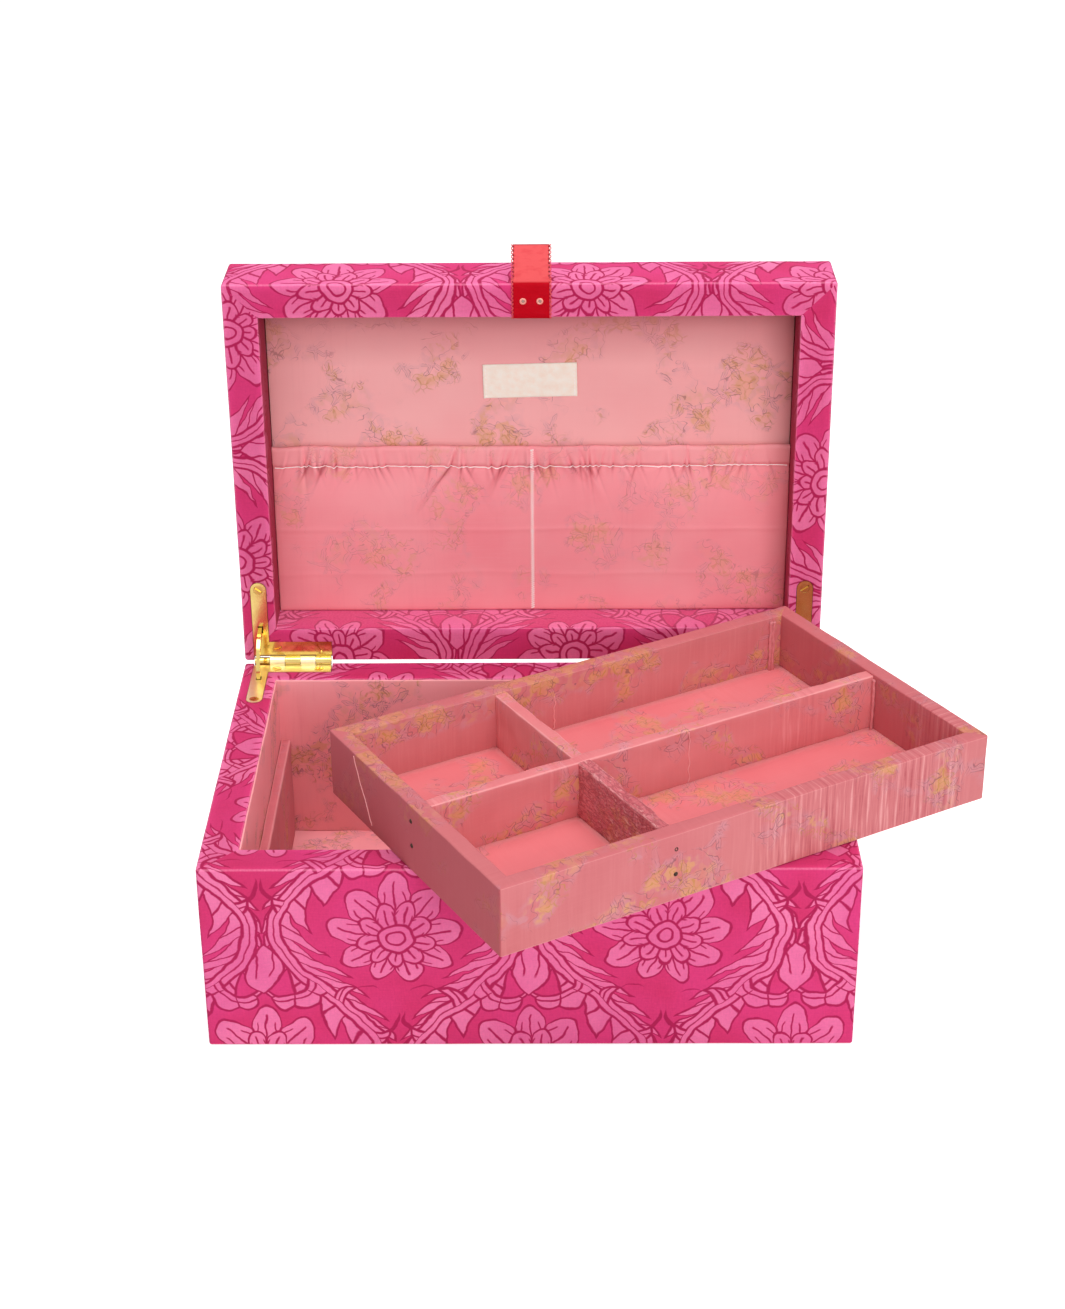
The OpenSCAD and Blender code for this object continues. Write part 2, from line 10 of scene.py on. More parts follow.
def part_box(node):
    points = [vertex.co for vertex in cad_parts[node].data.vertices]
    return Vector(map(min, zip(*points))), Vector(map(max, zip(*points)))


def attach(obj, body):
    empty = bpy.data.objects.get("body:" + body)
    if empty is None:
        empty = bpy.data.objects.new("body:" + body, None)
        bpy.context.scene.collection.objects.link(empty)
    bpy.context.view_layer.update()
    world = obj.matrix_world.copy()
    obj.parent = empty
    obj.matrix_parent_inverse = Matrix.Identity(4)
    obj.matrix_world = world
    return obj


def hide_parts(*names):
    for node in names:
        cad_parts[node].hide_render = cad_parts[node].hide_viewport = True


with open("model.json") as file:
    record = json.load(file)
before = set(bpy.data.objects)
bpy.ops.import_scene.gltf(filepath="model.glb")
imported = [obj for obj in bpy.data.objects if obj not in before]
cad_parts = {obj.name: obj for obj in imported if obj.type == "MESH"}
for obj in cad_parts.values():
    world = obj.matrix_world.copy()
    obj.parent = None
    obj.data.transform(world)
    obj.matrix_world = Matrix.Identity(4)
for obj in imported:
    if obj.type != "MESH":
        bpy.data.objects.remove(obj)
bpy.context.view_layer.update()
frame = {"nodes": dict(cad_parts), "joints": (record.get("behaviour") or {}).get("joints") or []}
cadNodes = frame["nodes"]
mm = 0.001
tau = 2 * math.pi


def spanOf(node):
    # a CAD piece's lowest and highest corners, in millimetres
    return [[round(c / mm, 2) for c in corner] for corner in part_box(node)]


# the lid turns about a line along X at this depth and height
lidHinge = next(joint for joint in frame["joints"] if joint["name"] == "lid_hinge")
hingeY, hingeZ = [round(c / mm, 2) for c in lidHinge["pos_m"][1:]]


def hexColor(code):
    parts = [int(code[i:i + 2], 16) / 255 for i in (0, 2, 4)]
    linear = [p / 12.92 if p <= 0.04045 else ((p + 0.055) / 1.055) ** 2.4 for p in parts]
    return (*linear, 1.0)


class Val:
    # a value socket that takes part in Python expressions
    def __init__(self, graph, socket):
        self.graph = graph
        self.socket = socket

    def do(self, kind, *others):
        return self.graph.math(kind, self, *others)

    def __add__(self, other):
        return self.do("ADD", other)

    def __sub__(self, other):
        return self.do("SUBTRACT", other)

    def __rsub__(self, other):
        return self.graph.math("SUBTRACT", other, self)

    def __mul__(self, other):
        return self.do("MULTIPLY", other)

    def __truediv__(self, other):
        return self.do("DIVIDE", other)

    def __rtruediv__(self, other):
        return self.graph.math("DIVIDE", other, self)

    def __pow__(self, other):
        return self.do("POWER", other)

    def __rpow__(self, other):
        return self.graph.math("POWER", other, self)

    def __abs__(self):
        return self.do("ABSOLUTE")

    __radd__ = __add__
    __rmul__ = __mul__

    def above(self, edge, soft):
        # 0 under the edge and 1 over it, with a soft change between
        return self.graph.math("MULTIPLY_ADD", self, 1 / soft, 0.5 - edge / soft, clamp=True)

    def near(self, middle, reach, soft):
        # 1 close to a value and 0 away from it
        return 1 - abs(self - middle).above(reach, soft)

    def out(self, key):
        # another output of the same node
        return Val(self.graph, self.socket.node.outputs[key])


class Graph:
    # the nodes of one material, or of the world
    def __init__(self, name, kind="materials"):
        self.owner = getattr(bpy.data, kind).new(name)
        self.owner.use_nodes = True
        self.tree = self.owner.node_tree
        self.tree.nodes.clear()

    def feed(self, socket, value):
        # a link, a colour written in hex, or a plain value
        if isinstance(value, Val):
            self.tree.links.new(value.socket, socket)
        else:
            socket.default_value = hexColor(value) if isinstance(value, str) else value

    def add(self, kind, settings=None, values=None, out=0):
        made = self.tree.nodes.new(kind)
        for key, value in (settings or {}).items():
            setattr(made, key, value)
        for key, value in (values or {}).items():
            self.feed(made.inputs[key], value)
        return Val(self, made.outputs[out]) if len(made.outputs) else None

    def math(self, kind, *args, clamp=False):
        return self.add("ShaderNodeMath", {"operation": kind, "use_clamp": clamp}, dict(enumerate(args)))

    def vector(self, x, y, z=0.0):
        return self.add("ShaderNodeCombineXYZ", None, {0: x, 1: y, 2: z})

    def mix(self, factor, a, b, blend="MIX"):
        settings = {"data_type": "RGBA", "blend_type": blend, "clamp_result": True}
        return self.add("ShaderNodeMix", settings, {0: factor, 6: a, 7: b}, out=2)

    def noise(self, at, scale, detail=2.0, rough=0.5):
        values = {"Vector": at, "Scale": scale, "Detail": detail, "Roughness": rough}
        return self.add("ShaderNodeTexNoise", None, values)

    def bump(self, height, distance, strength=1.0):
        values = {"Strength": strength, "Distance": distance, "Height": height}
        return self.add("ShaderNodeBump", None, values)

    def finish(self, **values):
        sockets = {key.replace("_", " "): value for key, value in values.items()}
        shader = self.add("ShaderNodeBsdfPrincipled", None, sockets)
        self.add("ShaderNodeOutputMaterial", None, {0: shader})
        return self.owner

    def clothPlace(self):
        # where a point lies on its flat cloth, in millimetres
        place = self.add("ShaderNodeUVMap", {"uv_map": "cloth"})
        across = self.add("ShaderNodeSeparateXYZ", None, {0: place})
        return across * 1000, across.out(1) * 1000

    def tone(self):
        # worn edges are above 0, and painted shade under 0, in deep, dark places and on faces darkened for
        # how the light falls
        value = self.add("ShaderNodeAttribute", {"attribute_name": "tone"}, out=2)
        return value.do("MAXIMUM", 0.0), (value * -1).do("MAXIMUM", 0.0)


# the printed outer cloth: an ogee trellis with palmettes, in millimetres
printLook = {
    "ground": "D93D7D", "groundDeep": "CE3268", "leaf": "E2659A", "leafPale": "EC7AA8",
    "outline": "A5184C", "deep": "930530", "worn": "F596B8",
    "column": 57.0, "drop": 132.0, "swell": 23.0, "wobble": 9.0, "shake": 1.3,
    "line": 1.2, "soft": 0.45, "leafStep": 12.5, "leafWidth": 10.5, "leafSwell": 5.5, "stem": 2.5,
    "palmette": 31.0, "innerPetals": 0.58, "petals": 9, "heart": 6.6, "heartRing": 3.4, "bud": 7.2,
    # scroll leaves: a big circle (x, y, radius) less a small one, then the lobes and their depth
    "scrolls": ((17, -43, 15.5, 12.5, -39.5, 12.5, 3.0, 2.6), (13, 39, 13, 9.5, 43.5, 10.5, 3.0, 2.4)),
}


def lay(under, shape, inner):
    # one printed shape over the others: (fill, outline)
    inside = shape.above(0.0, printLook["soft"])
    reach = (shape + printLook["line"]).above(0.0, printLook["soft"])
    fill = under[0] * (1 - reach) + inside * (1 - inner)
    dark = under[1] * (1 - reach) + (reach - inside) + inside * inner
    return fill, dark


def petalRing(x, y, radius, shift, droop, point):
    # pointed petals about (0, 0): the shape's depth, its inner lines and the distance
    r = (x * x + y * y).do("SQRT")
    turn = x.do("ARCTAN2", y)
    span = tau / printLook["petals"]
    part = abs((turn / span + (0.5 + shift)).do("FRACT") - 0.5) * 2
    reach = radius * (1 - droop * turn * turn)
    shape = reach * (1 - point * part ** 1.7) - r
    across = r * (span / 2)
    seam = 1 - ((1 - part) * across).above(0.5, 0.5)
    rib = (1 - (part * across).above(0.42, 0.4)) * (r - reach * 0.45).above(0.0, 1.0)
    rib = rib * (reach * 0.86 - r).above(0.0, 1.0)
    side = (part * across + (reach - r) * -0.16).near(2.6, 0.34, 0.4)
    side = side * (reach * 0.74 - r).above(0.0, 1.0) * (r - reach * 0.4).above(0.0, 1.0)
    return shape, seam.do("MAXIMUM", rib).do("MAXIMUM", side), r


def scrollLeaf(x, y, bigX, bigY, big, smallX, smallY, small, lobes, depth):
    # a leaf between two circles, with a lobed outer edge
    dx = x - bigX
    dy = y - bigY
    wave = abs((dx.do("ARCTAN2", dy) * lobes).do("SINE"))
    ex = x - smallX
    ey = y - smallY
    outer = big - depth + depth * wave - (dx * dx + dy * dy).do("SQRT")
    inner = (ex * ex + ey * ey).do("SQRT") - small
    vein = (1 - wave.above(0.12, 0.1)) * outer.do("LESS_THAN", 5.5)
    return outer.do("MINIMUM", inner), vein.do("MAXIMUM", inner.near(2.2, 0.4, 0.4))


def printedCloth(name, shiftU=0.0, shiftV=0.0):
    look = printLook
    g = Graph(name)
    u0, v0 = g.clothPlace()
    at = g.vector(u0, v0)
    wobble, shake = look["wobble"], look["shake"]
    u = u0 + shiftU + (g.noise(at, 0.045) - 0.5) * wobble + (g.noise(at, 0.22) - 0.5) * shake
    v = v0 + shiftV + (g.noise(g.vector(v0, u0, 9.0), 0.045) - 0.5) * wobble
    v = v + (g.noise(g.vector(v0, u0, 3.0), 0.22) - 0.5) * shake
    # the trellis mirrors about each column and steps down by half a drop past its border
    column, drop, swell = look["column"], look["drop"], look["swell"]
    a = u.do("PINGPONG", column)
    wave = v * (tau / drop)
    border = column / 2 + wave.do("COSINE") * swell
    slope = wave.do("SINE") * (swell * tau / drop)
    lean = (slope * slope + 1).do("INVERSE_SQRT")
    other = a.do("GREATER_THAN", border)
    x = a + other * (column - 2 * a)
    y = (v + other * (drop / 2)).do("WRAP", drop / 2, -drop / 2)
    edge = abs(a - border) * lean
    # serrated leaves along the trellis, and its stem
    phase = ((y + edge * 0.8) / look["leafStep"]).do("FRACT")
    width = look["leafWidth"] + (y * (tau / drop)).do("COSINE") * look["leafSwell"]
    band = width * (1 - 0.62 * phase ** 1.4) - edge
    bandLines = (1 - (phase * look["leafStep"]).above(0.7, 0.4)).do(
        "MAXIMUM", (phase - edge * 0.012).near(0.42, 0.035, 0.03))
    state = lay((0.0, 0.0), band, bandLines)
    state = lay(state, look["stem"] - edge, 1 - edge.above(0.3, 0.4))
    for scroll in look["scrolls"]:
        state = lay(state, *scrollLeaf(x, y, *scroll))
    # the palmette's two rows of petals, and its heart
    middle = y + 3.0
    shape, inner, r = petalRing(x, middle, look["palmette"], 0.0, 0.035, 0.34)
    state = lay(state, shape, inner)
    shape, inner, r = petalRing(x, middle, look["palmette"] * look["innerPetals"], 0.5, 0.03, 0.3)
    state = lay(state, shape, inner)
    state = lay(state, look["heart"] - r, r.near(look["heartRing"], 0.5, 0.4))
    # a bud in the neck of the trellis
    rise = y - drop * 0.36
    budLines = (x - rise * 0.12).near(3.0, 0.4, 0.4) * rise.above(-3.0, 2.0)
    fill, dark = lay(state, look["bud"] * (1 - rise * rise / 150.0) - x, budLines)
    # worn dye: broad patches and fine mottling
    broad = g.noise(at, 0.02, 3.0)
    fine = g.noise(at, 0.9, 3.0, 0.7)
    ground = g.mix(broad.above(0.5, 0.35), look["ground"], look["groundDeep"])
    leaf = g.mix(broad.above(0.52, 0.3), look["leaf"], look["leafPale"])
    color = g.mix(fill, ground, leaf)
    color = g.mix(dark * 0.88, color, look["outline"])
    warp = g.noise(g.vector(u0 * 0.12, v0), 1.5, 2.0, 0.6)
    weft = g.noise(g.vector(u0, v0 * 0.12), 1.5, 2.0, 0.6)
    mottle = fine * 0.26 + (warp + weft) * 0.16 + 0.71
    shade = g.add("ShaderNodeCombineColor", None, {0: mottle, 1: mottle, 2: mottle})
    color = g.mix(1.0, color, shade, "MULTIPLY")
    worn, deep = g.tone()
    color = g.mix(worn * (fine * 0.7), color, look["worn"])
    # the deep colour is painted shade, laid where the tone is under 0
    color = g.mix(deep * 0.9, color, look["deep"])
    return g.finish(Base_Color=color, Roughness=0.85, Specular_IOR_Level=0.15, Sheen_Weight=0.03,
                    Sheen_Roughness=0.5, Normal=g.bump(warp + weft, 0.00012, 0.5))


# the thin printed lining: sprigs of flowers and leaves
liningLook = {"ochre": "BC8638", "ochreWash": "DDA658", "mauve": "7A4A54", "lilac": "C89AA8",
              "worn": "F6B3B2", "crease": "A2404A", "creaseHighlight": "F2B4B0",
              "flowers": 15.0, "leaves": 13.5, "line": 0.22, "soft": 0.2, "bend": 8, "streakTo": 108.0}


def scattered(g, x, y, spacing, randomness=0.9):
    # distance and direction from the nearest of scattered points, and two numbers of chance
    values = {"Vector": g.vector(x, y), "Scale": 1 / spacing, "Randomness": randomness}
    spots = g.add("ShaderNodeTexVoronoi", {"voronoi_dimensions": "2D"}, values, "Position")
    middle = g.add("ShaderNodeSeparateXYZ", None, {0: spots})
    chance = g.add("ShaderNodeSeparateColor", None, {0: spots.out("Color")})
    x = x - middle
    y = y - middle.out(1)
    return (x * x + y * y).do("SQRT"), y.do("ARCTAN2", x), chance, chance.out(1)


def sprigs(g, u, v, at):
    # pencil-drawn flowers and pointed leaves in clusters: (ochre lines, mauve lines, washes)
    look = liningLook
    thin, soft = look["line"], look["soft"]
    bendU = u + (g.noise(at, 0.13, 2.0, 0.4) - 0.5) * look["bend"]
    bendV = v + (g.noise(g.vector(v, u, 4.0), 0.13, 2.0, 0.4) - 0.5) * look["bend"]
    cluster = g.noise(at, 0.034, 2.0, 0.4)
    inside = cluster.above(0.52, 0.05)
    heart = cluster.above(0.57, 0.05)
    r, turn, pick, kind = scattered(g, bendU, bendV, look["flowers"])
    lobes = abs((turn * 2.5 + kind * 6).do("SINE"))
    reach = 3.4 + kind * 1.6 + lobes * 2.2
    veins = (1 - ((1 - lobes) * r).above(0.2, 0.2)) * (r - 1.8).above(0.0, 0.3)
    veins = veins * (reach * 0.8 - r).above(0.0, 0.3)
    chosen = pick.above(0.35, 0.02) * inside
    ochre = (reach - r).near(0, thin, soft).do("MAXIMUM", r.near(1.5, thin, soft))
    ochre = ochre.do("MAXIMUM", veins) * chosen
    leafR, leafTurn, leafPick, leafKind = scattered(g, bendV + 400, bendU + 90, look["leaves"], 1.0)
    points = 1 - abs((leafTurn * (1.5 + leafPick.above(0.5, 0.01)) + leafKind * 6).do("SINE"))
    leafReach = 1.8 + points * (5.4 + leafKind * 3.6)
    rib = (1 - ((1 - points) * leafR).above(0.16, 0.2)) * (leafReach * 0.86 - leafR).above(0.0, 0.3)
    leaves = (leafReach - leafR).near(0, thin * 1.5, soft).do("MAXIMUM", rib) * leafPick.above(0.25, 0.02)
    stems = g.noise(at, 0.075, 2.0).near(0.5, 0.004, 0.005)
    broken = g.noise(at, 0.24, 1.0).above(0.42, 0.1)
    mauve = leaves.do("MAXIMUM", stems) * inside * broken
    blot = g.noise(at, 0.2, 2.0)
    flowerWash = (reach - r).above(0.3, 0.8) * 0.7 + blot.above(0.56, 0.1)
    flowerWash = flowerWash * heart * chosen.do("MAXIMUM", 0.4)
    leafWash = ((leafReach - leafR).above(0.3, 0.8) * 0.6 + blot.above(0.5, 0.2) * 0.6) * inside
    return ochre * (broken * 0.6 + 0.4), mauve, flowerWash.do("MINIMUM", 1.0), leafWash.do("MINIMUM", 1.0)


def liningCloth(name, pale, rose, slubAndShadeTone, motifs, slubs, relief=0.0001, crumple=0.0, streakFrom=None):
    look = liningLook
    g = Graph(name)
    u, v = g.clothPlace()
    at = g.vector(u, v)
    broad = g.noise(at, 0.02, 3.0)
    streak = g.noise(g.vector(u, v * 0.045), 0.55, 3.0, 0.62)
    weft = g.noise(g.vector(u * 0.05, v), 0.9, 3.0, 0.6)
    if streakFrom is None:
        patch = g.noise(g.vector(u, v * 0.3, 5.0), 0.022, 2.0).above(0.57, 0.1) * 0.85 + 0.15
    else:
        patch = u.above(streakFrom, 14.0) * (1 - u.above(look["streakTo"], 8.0)) * 0.9 + 0.1
    color = g.mix(broad.above(0.5, 0.4), pale, rose)
    color = g.mix(streak.above(0.6, 0.16) * patch * (slubs * 0.7), color, look["worn"])
    color = g.mix((1 - streak.above(0.4, 0.16)) * patch * (slubs * 0.8), color, slubAndShadeTone)
    color = g.mix(weft.above(0.6, 0.25) * 0.25, color, pale)
    ochre, mauve, flowerWash, leafWash = sprigs(g, u, v, at)
    color = g.mix(leafWash * (0.34 * motifs), color, look["lilac"])
    color = g.mix(flowerWash * (0.5 * motifs), color, look["ochreWash"])
    color = g.mix(ochre * (0.55 * motifs), color, look["ochre"])
    color = g.mix(mauve * (0.6 * motifs), color, look["mauve"])
    worn, deep = g.tone()
    color = g.mix(worn * 0.45, color, look["worn"])
    # painted shade where the tone is under 0
    color = g.mix(deep * 0.75, color, slubAndShadeTone)
    height = streak * (0.5 * patch + 0.2) + weft * 0.5 + g.noise(at, 1.4, 2.0) * 0.3
    if crumple:
        fold = abs(g.noise(g.vector(u * 0.35, v), 0.42, 3.0, 0.6) - 0.5)
        crossFold = abs(g.noise(g.vector(v, u * 0.6, 2.0), 0.3, 2.0, 0.6) - 0.5)
        height = height + fold.do("MINIMUM", crossFold) * crumple
        # painted shade in the crumpled cloth's creases, and a painted highlight on its ridges
        color = g.mix((1 - fold.above(0.04, 0.05)) * 0.6, color, look["crease"])
        color = g.mix(crossFold.above(0.16, 0.05) * 0.45, color, look["creaseHighlight"])
    return g.finish(Base_Color=color, Roughness=0.7, Specular_IOR_Level=0.2, Sheen_Weight=0.04,
                    Sheen_Roughness=0.45, Normal=g.bump(height, relief, 0.6))


def brassMetal(name, light, deep, gloss):
    g = Graph(name)
    place = g.add("ShaderNodeTexCoord", out="Object")
    cloud = g.noise(place, 160.0, 3.0, 0.6)
    fine = g.noise(place, 1400.0, 2.0)
    color = g.mix(cloud.above(0.55, 0.3) * 0.5, light, deep)
    rough = cloud * 0.12 + fine * 0.06 + gloss
    return g.finish(Base_Color=color, Metallic=1.0, Roughness=rough, Normal=g.bump(fine, 0.00002, 0.4))


def plainFinish(name, base, other, scale, roughness, relief, metallic=0.0, glow=0.0):
    g = Graph(name)
    place = g.add("ShaderNodeTexCoord", out="Object")
    cloud = g.noise(place, scale, 4.0, 0.6)
    color = g.mix(cloud.above(0.5, 0.4), base, other)
    return g.finish(Base_Color=color, Metallic=metallic, Roughness=cloud * 0.2 + (roughness - 0.1),
                    Emission_Color=color, Emission_Strength=glow,
                    Normal=g.bump(g.noise(place, scale * 9, 2.0), relief, 0.5))


# the tab colour is a painted sheen, where the satin leans back towards the light, and the fold colour painted
# shade along the tab's top fold
satinLook = {"tail": "B60016", "tab": "DE5659", "crease": "C4162E", "fold": "9E2030", "rib": 0.5}


def ribbonSatin(tabFrom, foldAt):
    look = satinLook
    g = Graph("ribbon_satin")
    u, v = g.clothPlace()
    crease = g.noise(g.vector(u * 0.5, v), 0.35, 2.0)
    tab = v.above(tabFrom, 0.9)
    # painted sheen on the standing tab
    color = g.mix(tab, look["tail"], look["tab"])
    color = g.mix(crease.above(0.6, 0.2) * (0.15 + tab * 0.15), color, look["crease"])
    # painted shade along the tab's top fold
    color = g.mix(v.near(foldAt, 0.55, 0.5), color, look["fold"])
    ribs = (v * (tau / look["rib"])).do("SINE")
    return g.finish(Base_Color=color, Roughness=0.5 - crease * 0.1, Specular_IOR_Level=0.06,
                    Anisotropic=0.5, Normal=g.bump(crease * 2 + ribs * 0.1, 0.0002, 0.6))


def wovenTape():
    g = Graph("label_tape")
    u, v = g.clothPlace()
    warp = (u * (tau / 0.55)).do("SINE")
    weft = (v * (tau / 0.7)).do("SINE")
    cloud = g.noise(g.vector(u, v), 0.3, 3.0)
    color = g.mix(cloud.above(0.5, 0.4), "FFF8EC", "F8ECDC")
    # a faint glow: painted light, so the tape stays bright in shade
    return g.finish(Base_Color=color, Roughness=0.85, Specular_IOR_Level=0.1, Emission_Color=color,
                    Emission_Strength=0.08, Normal=g.bump(warp * weft + cloud, 0.00015, 0.6))


# cloths: pale and rose colours, a deep one for dark slubs and painted shade, then how strong the motifs and
# the slubs are
printed = printedCloth("outer_print")
lidPrinted = printedCloth("lid_print", 31.0, 22.0)
liningInside = liningCloth("box_lining", "FFB0B6", "FEA2AA", "E8848C", 0.9, 0.25)
liningLid = liningCloth("lid_lining", "F8B6B6", "F5AAAC", "BC6C72", 0.85, 0.06)
liningLedge = liningCloth("ledge_lining", "D87C84", "CC6C76", "A84C58", 0.7, 0.3)
liningPocket = liningCloth("pocket_lining", "F8A0A7", "F68F99", "AE4C58", 0.5, 0.06)
liningTray = liningCloth("tray_lining", "DE8487", "D8767B", "BE5C65", 1.0, 0.4, 0.00014)
liningFloor = liningCloth("tray_floor_cloth", "EA8388", "E6797F", "CC666E", 0.7, 0.12)
liningStreaked = liningCloth("tray_wall_cloth", "D47D80", "CC6F74", "AC4650", 1.0, 0.85, 0.00016,
                              streakFrom=2.0)
liningCrumpled = liningCloth("tray_lining_crumpled", "DC7A80", "CC626C", "A8444E", 0.5, 0.5, 0.003, 2.4)
tape = wovenTape()
# metals: a light and a deep colour, and the gloss
brass = brassMetal("brass", "F4DA88", "DDB458", 0.04)
# near-white base: a painted highlight on the box leaves, on a satin brass
brassSatinHighlight = brassMetal("brass_satin_highlight", "FFF2C8", "F4DC9C", 0.24)
# a darker copy of the brass for the screws: painted shade, so they show against the leaves
brassPaintedShade = brassMetal("brass_painted_shade", "E8C878", "CFA048", 0.1)
# plain finishes: two colours, the scale of their clouds, roughness and relief
boardRaw = plainFinish("bare_board", "B08A62", "9C7850", 60.0, 0.8, 0.0002)
feltFinish = plainFinish("felt", "5A1E34", "4A182B", 900.0, 0.95, 0.0006)
# the thread glows a little: painted light, so the white stitches stay white in shade
threadWhite = plainFinish("thread", "FBF0EE", "F2DEDC", 900.0, 0.7, 0.0001, glow=0.3)
elasticWhite = plainFinish("elastic", "F0E8E4", "DDD2CC", 700.0, 0.7, 0.0001)
nailSteel = plainFinish("nail_steel", "5A4A40", "382C26", 700.0, 0.4, 0.0001, 1.0)
pinFinish = plainFinish("pin_enamel", "EFA898", "E08E80", 500.0, 0.35, 0.00005)
pinCore = plainFinish("pin_core", "B4948A", "8E7268", 500.0, 0.5, 0.00005)
satinEdge = plainFinish("ribbon_edge", "D8303E", "E85A5A", 500.0, 0.5, 0.0001)
satinDark = plainFinish("ribbon_gap", "8A0E20", "A01A2C", 500.0, 0.6, 0.0001)
foldPale = plainFinish("fold_pale", "F0A8A8", "E89498", 300.0, 0.7, 0.0001)
foldRose = plainFinish("fold_rose", "DC888C", "CC7278", 400.0, 0.7, 0.0003)
print("materials made")


# from here on, lengths are in millimetres
def toMesh(name, points, faces, uvs=None, tones=None, material=None, smooth=True):
    # uvs hold each corner's place on the flat cloth, and tones how worn each point is, or how much painted
    # shade it takes
    mesh = bpy.data.meshes.new(name)
    mesh.from_pydata([tuple(c * mm for c in p) for p in points], [], faces)
    if uvs is not None:
        layer = mesh.uv_layers.new(name="cloth")
        layer.data.foreach_set("uv", [c * mm for face in uvs for uv in face for c in uv])
    wearAndShade = mesh.attributes.new("tone", "FLOAT", "POINT")
    wearAndShade.data.foreach_set("value", tones if tones is not None else [0.0] * len(points))
    if smooth:
        mesh.polygons.foreach_set("use_smooth", [True] * len(mesh.polygons))
    obj = bpy.data.objects.new(name, mesh)
    bpy.context.scene.collection.objects.link(obj)
    if material:
        mesh.materials.append(material)
    return obj


def byCorner(faces, places):
    # the cloth's places for every corner of every face
    return [[places[vertex] for vertex in face] for face in faces]


def gridFaces(columns, rows, start=0, flip=False):
    # faces over points that are laid row by row
    step = columns + 1
    faces = []
    for row in range(rows):
        for column in range(columns):
            a = start + row * step + column
            quad = [a, a + 1, a + step + 1, a + step]
            faces.append([quad[0]] + quad[:0:-1] if flip else quad)
    return faces


def stackFaces(sides, rings, start=0):
    # a closed skin over one ring of points after another
    faces = []
    for ring in range(rings - 1):
        for k in range(sides):
            a = start + ring * sides + k
            b = start + ring * sides + (k + 1) % sides
            faces.append([a, b, b + sides, a + sides])
    last = start + (rings - 1) * sides
    faces.append([start + k for k in range(sides)][::-1])
    faces.append([last + k for k in range(sides)])
    return faces


def thicken(obj, thickness, offset=0):
    change = obj.modifiers.new("thick", "SOLIDIFY")
    change.thickness = thickness * mm
    change.offset = offset


def soften(obj, width, segments, angle=30):
    change = obj.modifiers.new("soft_edges", "BEVEL")
    change.width = width * mm
    change.segments = segments
    change.limit_method = "ANGLE"
    change.angle_limit = math.radians(angle)


def weld(obj, distance=0.00001):
    work = bmesh.new()
    work.from_mesh(obj.data)
    bmesh.ops.remove_doubles(work, verts=work.verts, dist=distance)
    bmesh.ops.dissolve_degenerate(work, edges=work.edges, dist=distance)
    bmesh.ops.recalc_face_normals(work, faces=work.faces)
    work.to_mesh(obj.data)
    work.free()
    obj.data.update()
    return obj


def ripple(*place):
    return noise.noise(Vector(place))


def wobbleAt(p, size, seed):
    return ripple(p[0] / size + seed, p[1] / size, p[2] / size + seed * 2)


def uneven(p, *waves):
    # a slight shift along X, Y and Z, each from (amount, size, seed)
    return Vector([amount * wobbleAt(p, size, seed) for amount, size, seed in waves])


def between(value, low, high):
    # 0 below the first value, 1 past the second, and even between them
    return max(0.0, min(1.0, (value - low) / (high - low)))


def moved(obj, change):
    # applies a function of millimetre points to every vertex
    for vertex in obj.data.vertices:
        vertex.co = Vector(change(vertex.co / mm)) * mm
    obj.data.update()
    return obj


def steps(a, b, size):
    count = max(1, int(round(abs(b - a) / size)))
    return [a + (b - a) * i / count for i in range(count)]


def arc(cx, cz, r, a0, a1, count):
    # points on a rounding of a profile: (offset, height, wear)
    made = []
    for i in range(count + 1):
        t = math.radians(a0 + (a1 - a0) * i / count)
        made.append((cx + r * math.cos(t), cz + r * math.sin(t), math.sin(math.pi * i / count)))
    return made


def ringSweep(name, halfX, halfY, profile, cornerR, size, material, flatFrom=None, shadedSides=(0, 1, 2, 3)):
    # a profile of (offset, height, tone) carried round a rectangle, with mitred corners.
    # From profile index flatFrom on, the cloth lies flat and takes its place from x and y.
    sides = [((1, 0), (0, -1), halfX, halfY), ((0, 1), (1, 0), halfY, halfX),
             ((-1, 0), (0, 1), halfX, halfY), ((0, -1), (-1, 0), halfY, halfX)]
    turn = [0.0, 22.5, 45.0]
    lastMark = 0.996
    clothPerSide = 137.0
    lengths = [0.0]
    for p, q in zip(profile, profile[1:]):
        lengths.append(lengths[-1] + math.hypot(q[0] - p[0], q[1] - p[1]))
    count = len(profile)
    points, wearAndShade, stations = [], [], []
    for k, (along, out, half, deep) in enumerate(sides):
        inner = half - cornerR
        total = max(4, int(2 * half / size))
        marks = [lastMark * (-1 + 2 * i / total) for i in range(total + 1)]
        column = [(-1, a) for a in turn[::-1]] + [(0, m) for m in marks] + [(1, a) for a in turn]
        for end, m in column:
            stations.append(k)
            for d, z, tone in profile:
                if end == 0:
                    s = m * (inner if d > -cornerR else half + d)
                    o = deep + d
                else:
                    r = max(cornerR + d, 0.0)
                    slip = min(cornerR + d, 0.0)
                    angle = math.radians(m)
                    s = end * (inner + slip + r * math.sin(angle))
                    o = deep - cornerR + slip + r * math.cos(angle)
                points.append((along[0] * s + out[0] * o, along[1] * s + out[1] * o, z))
                # tones under -0.3 are painted shade on the shaded sides, and turn into a paler tone on the
                # others
                wearAndShade.append(tone if tone > -0.3 or k in shadedSides else 0.6 * abs(tone))
    faces, uvs = [], []
    for i, k in enumerate(stations):
        j = (i + 1) % len(stations)
        if stations[j] != k:
            continue
        along = sides[k][0]
        for n in range(count):
            m = (n + 1) % count
            quad = [i * count + n, j * count + n, j * count + m, i * count + m]
            faces.append(quad)
            rows = []
            for vert in quad:
                p = points[vert]
                if flatFrom is not None and n >= flatFrom:
                    rows.append((p[0], p[1]))
                else:
                    rows.append((p[0] * along[0] + p[1] * along[1] + k * clothPerSide, lengths[vert % count]))
            uvs.append(rows)
    return weld(toMesh(name, points, faces, uvs, wearAndShade, material), 0.000002)


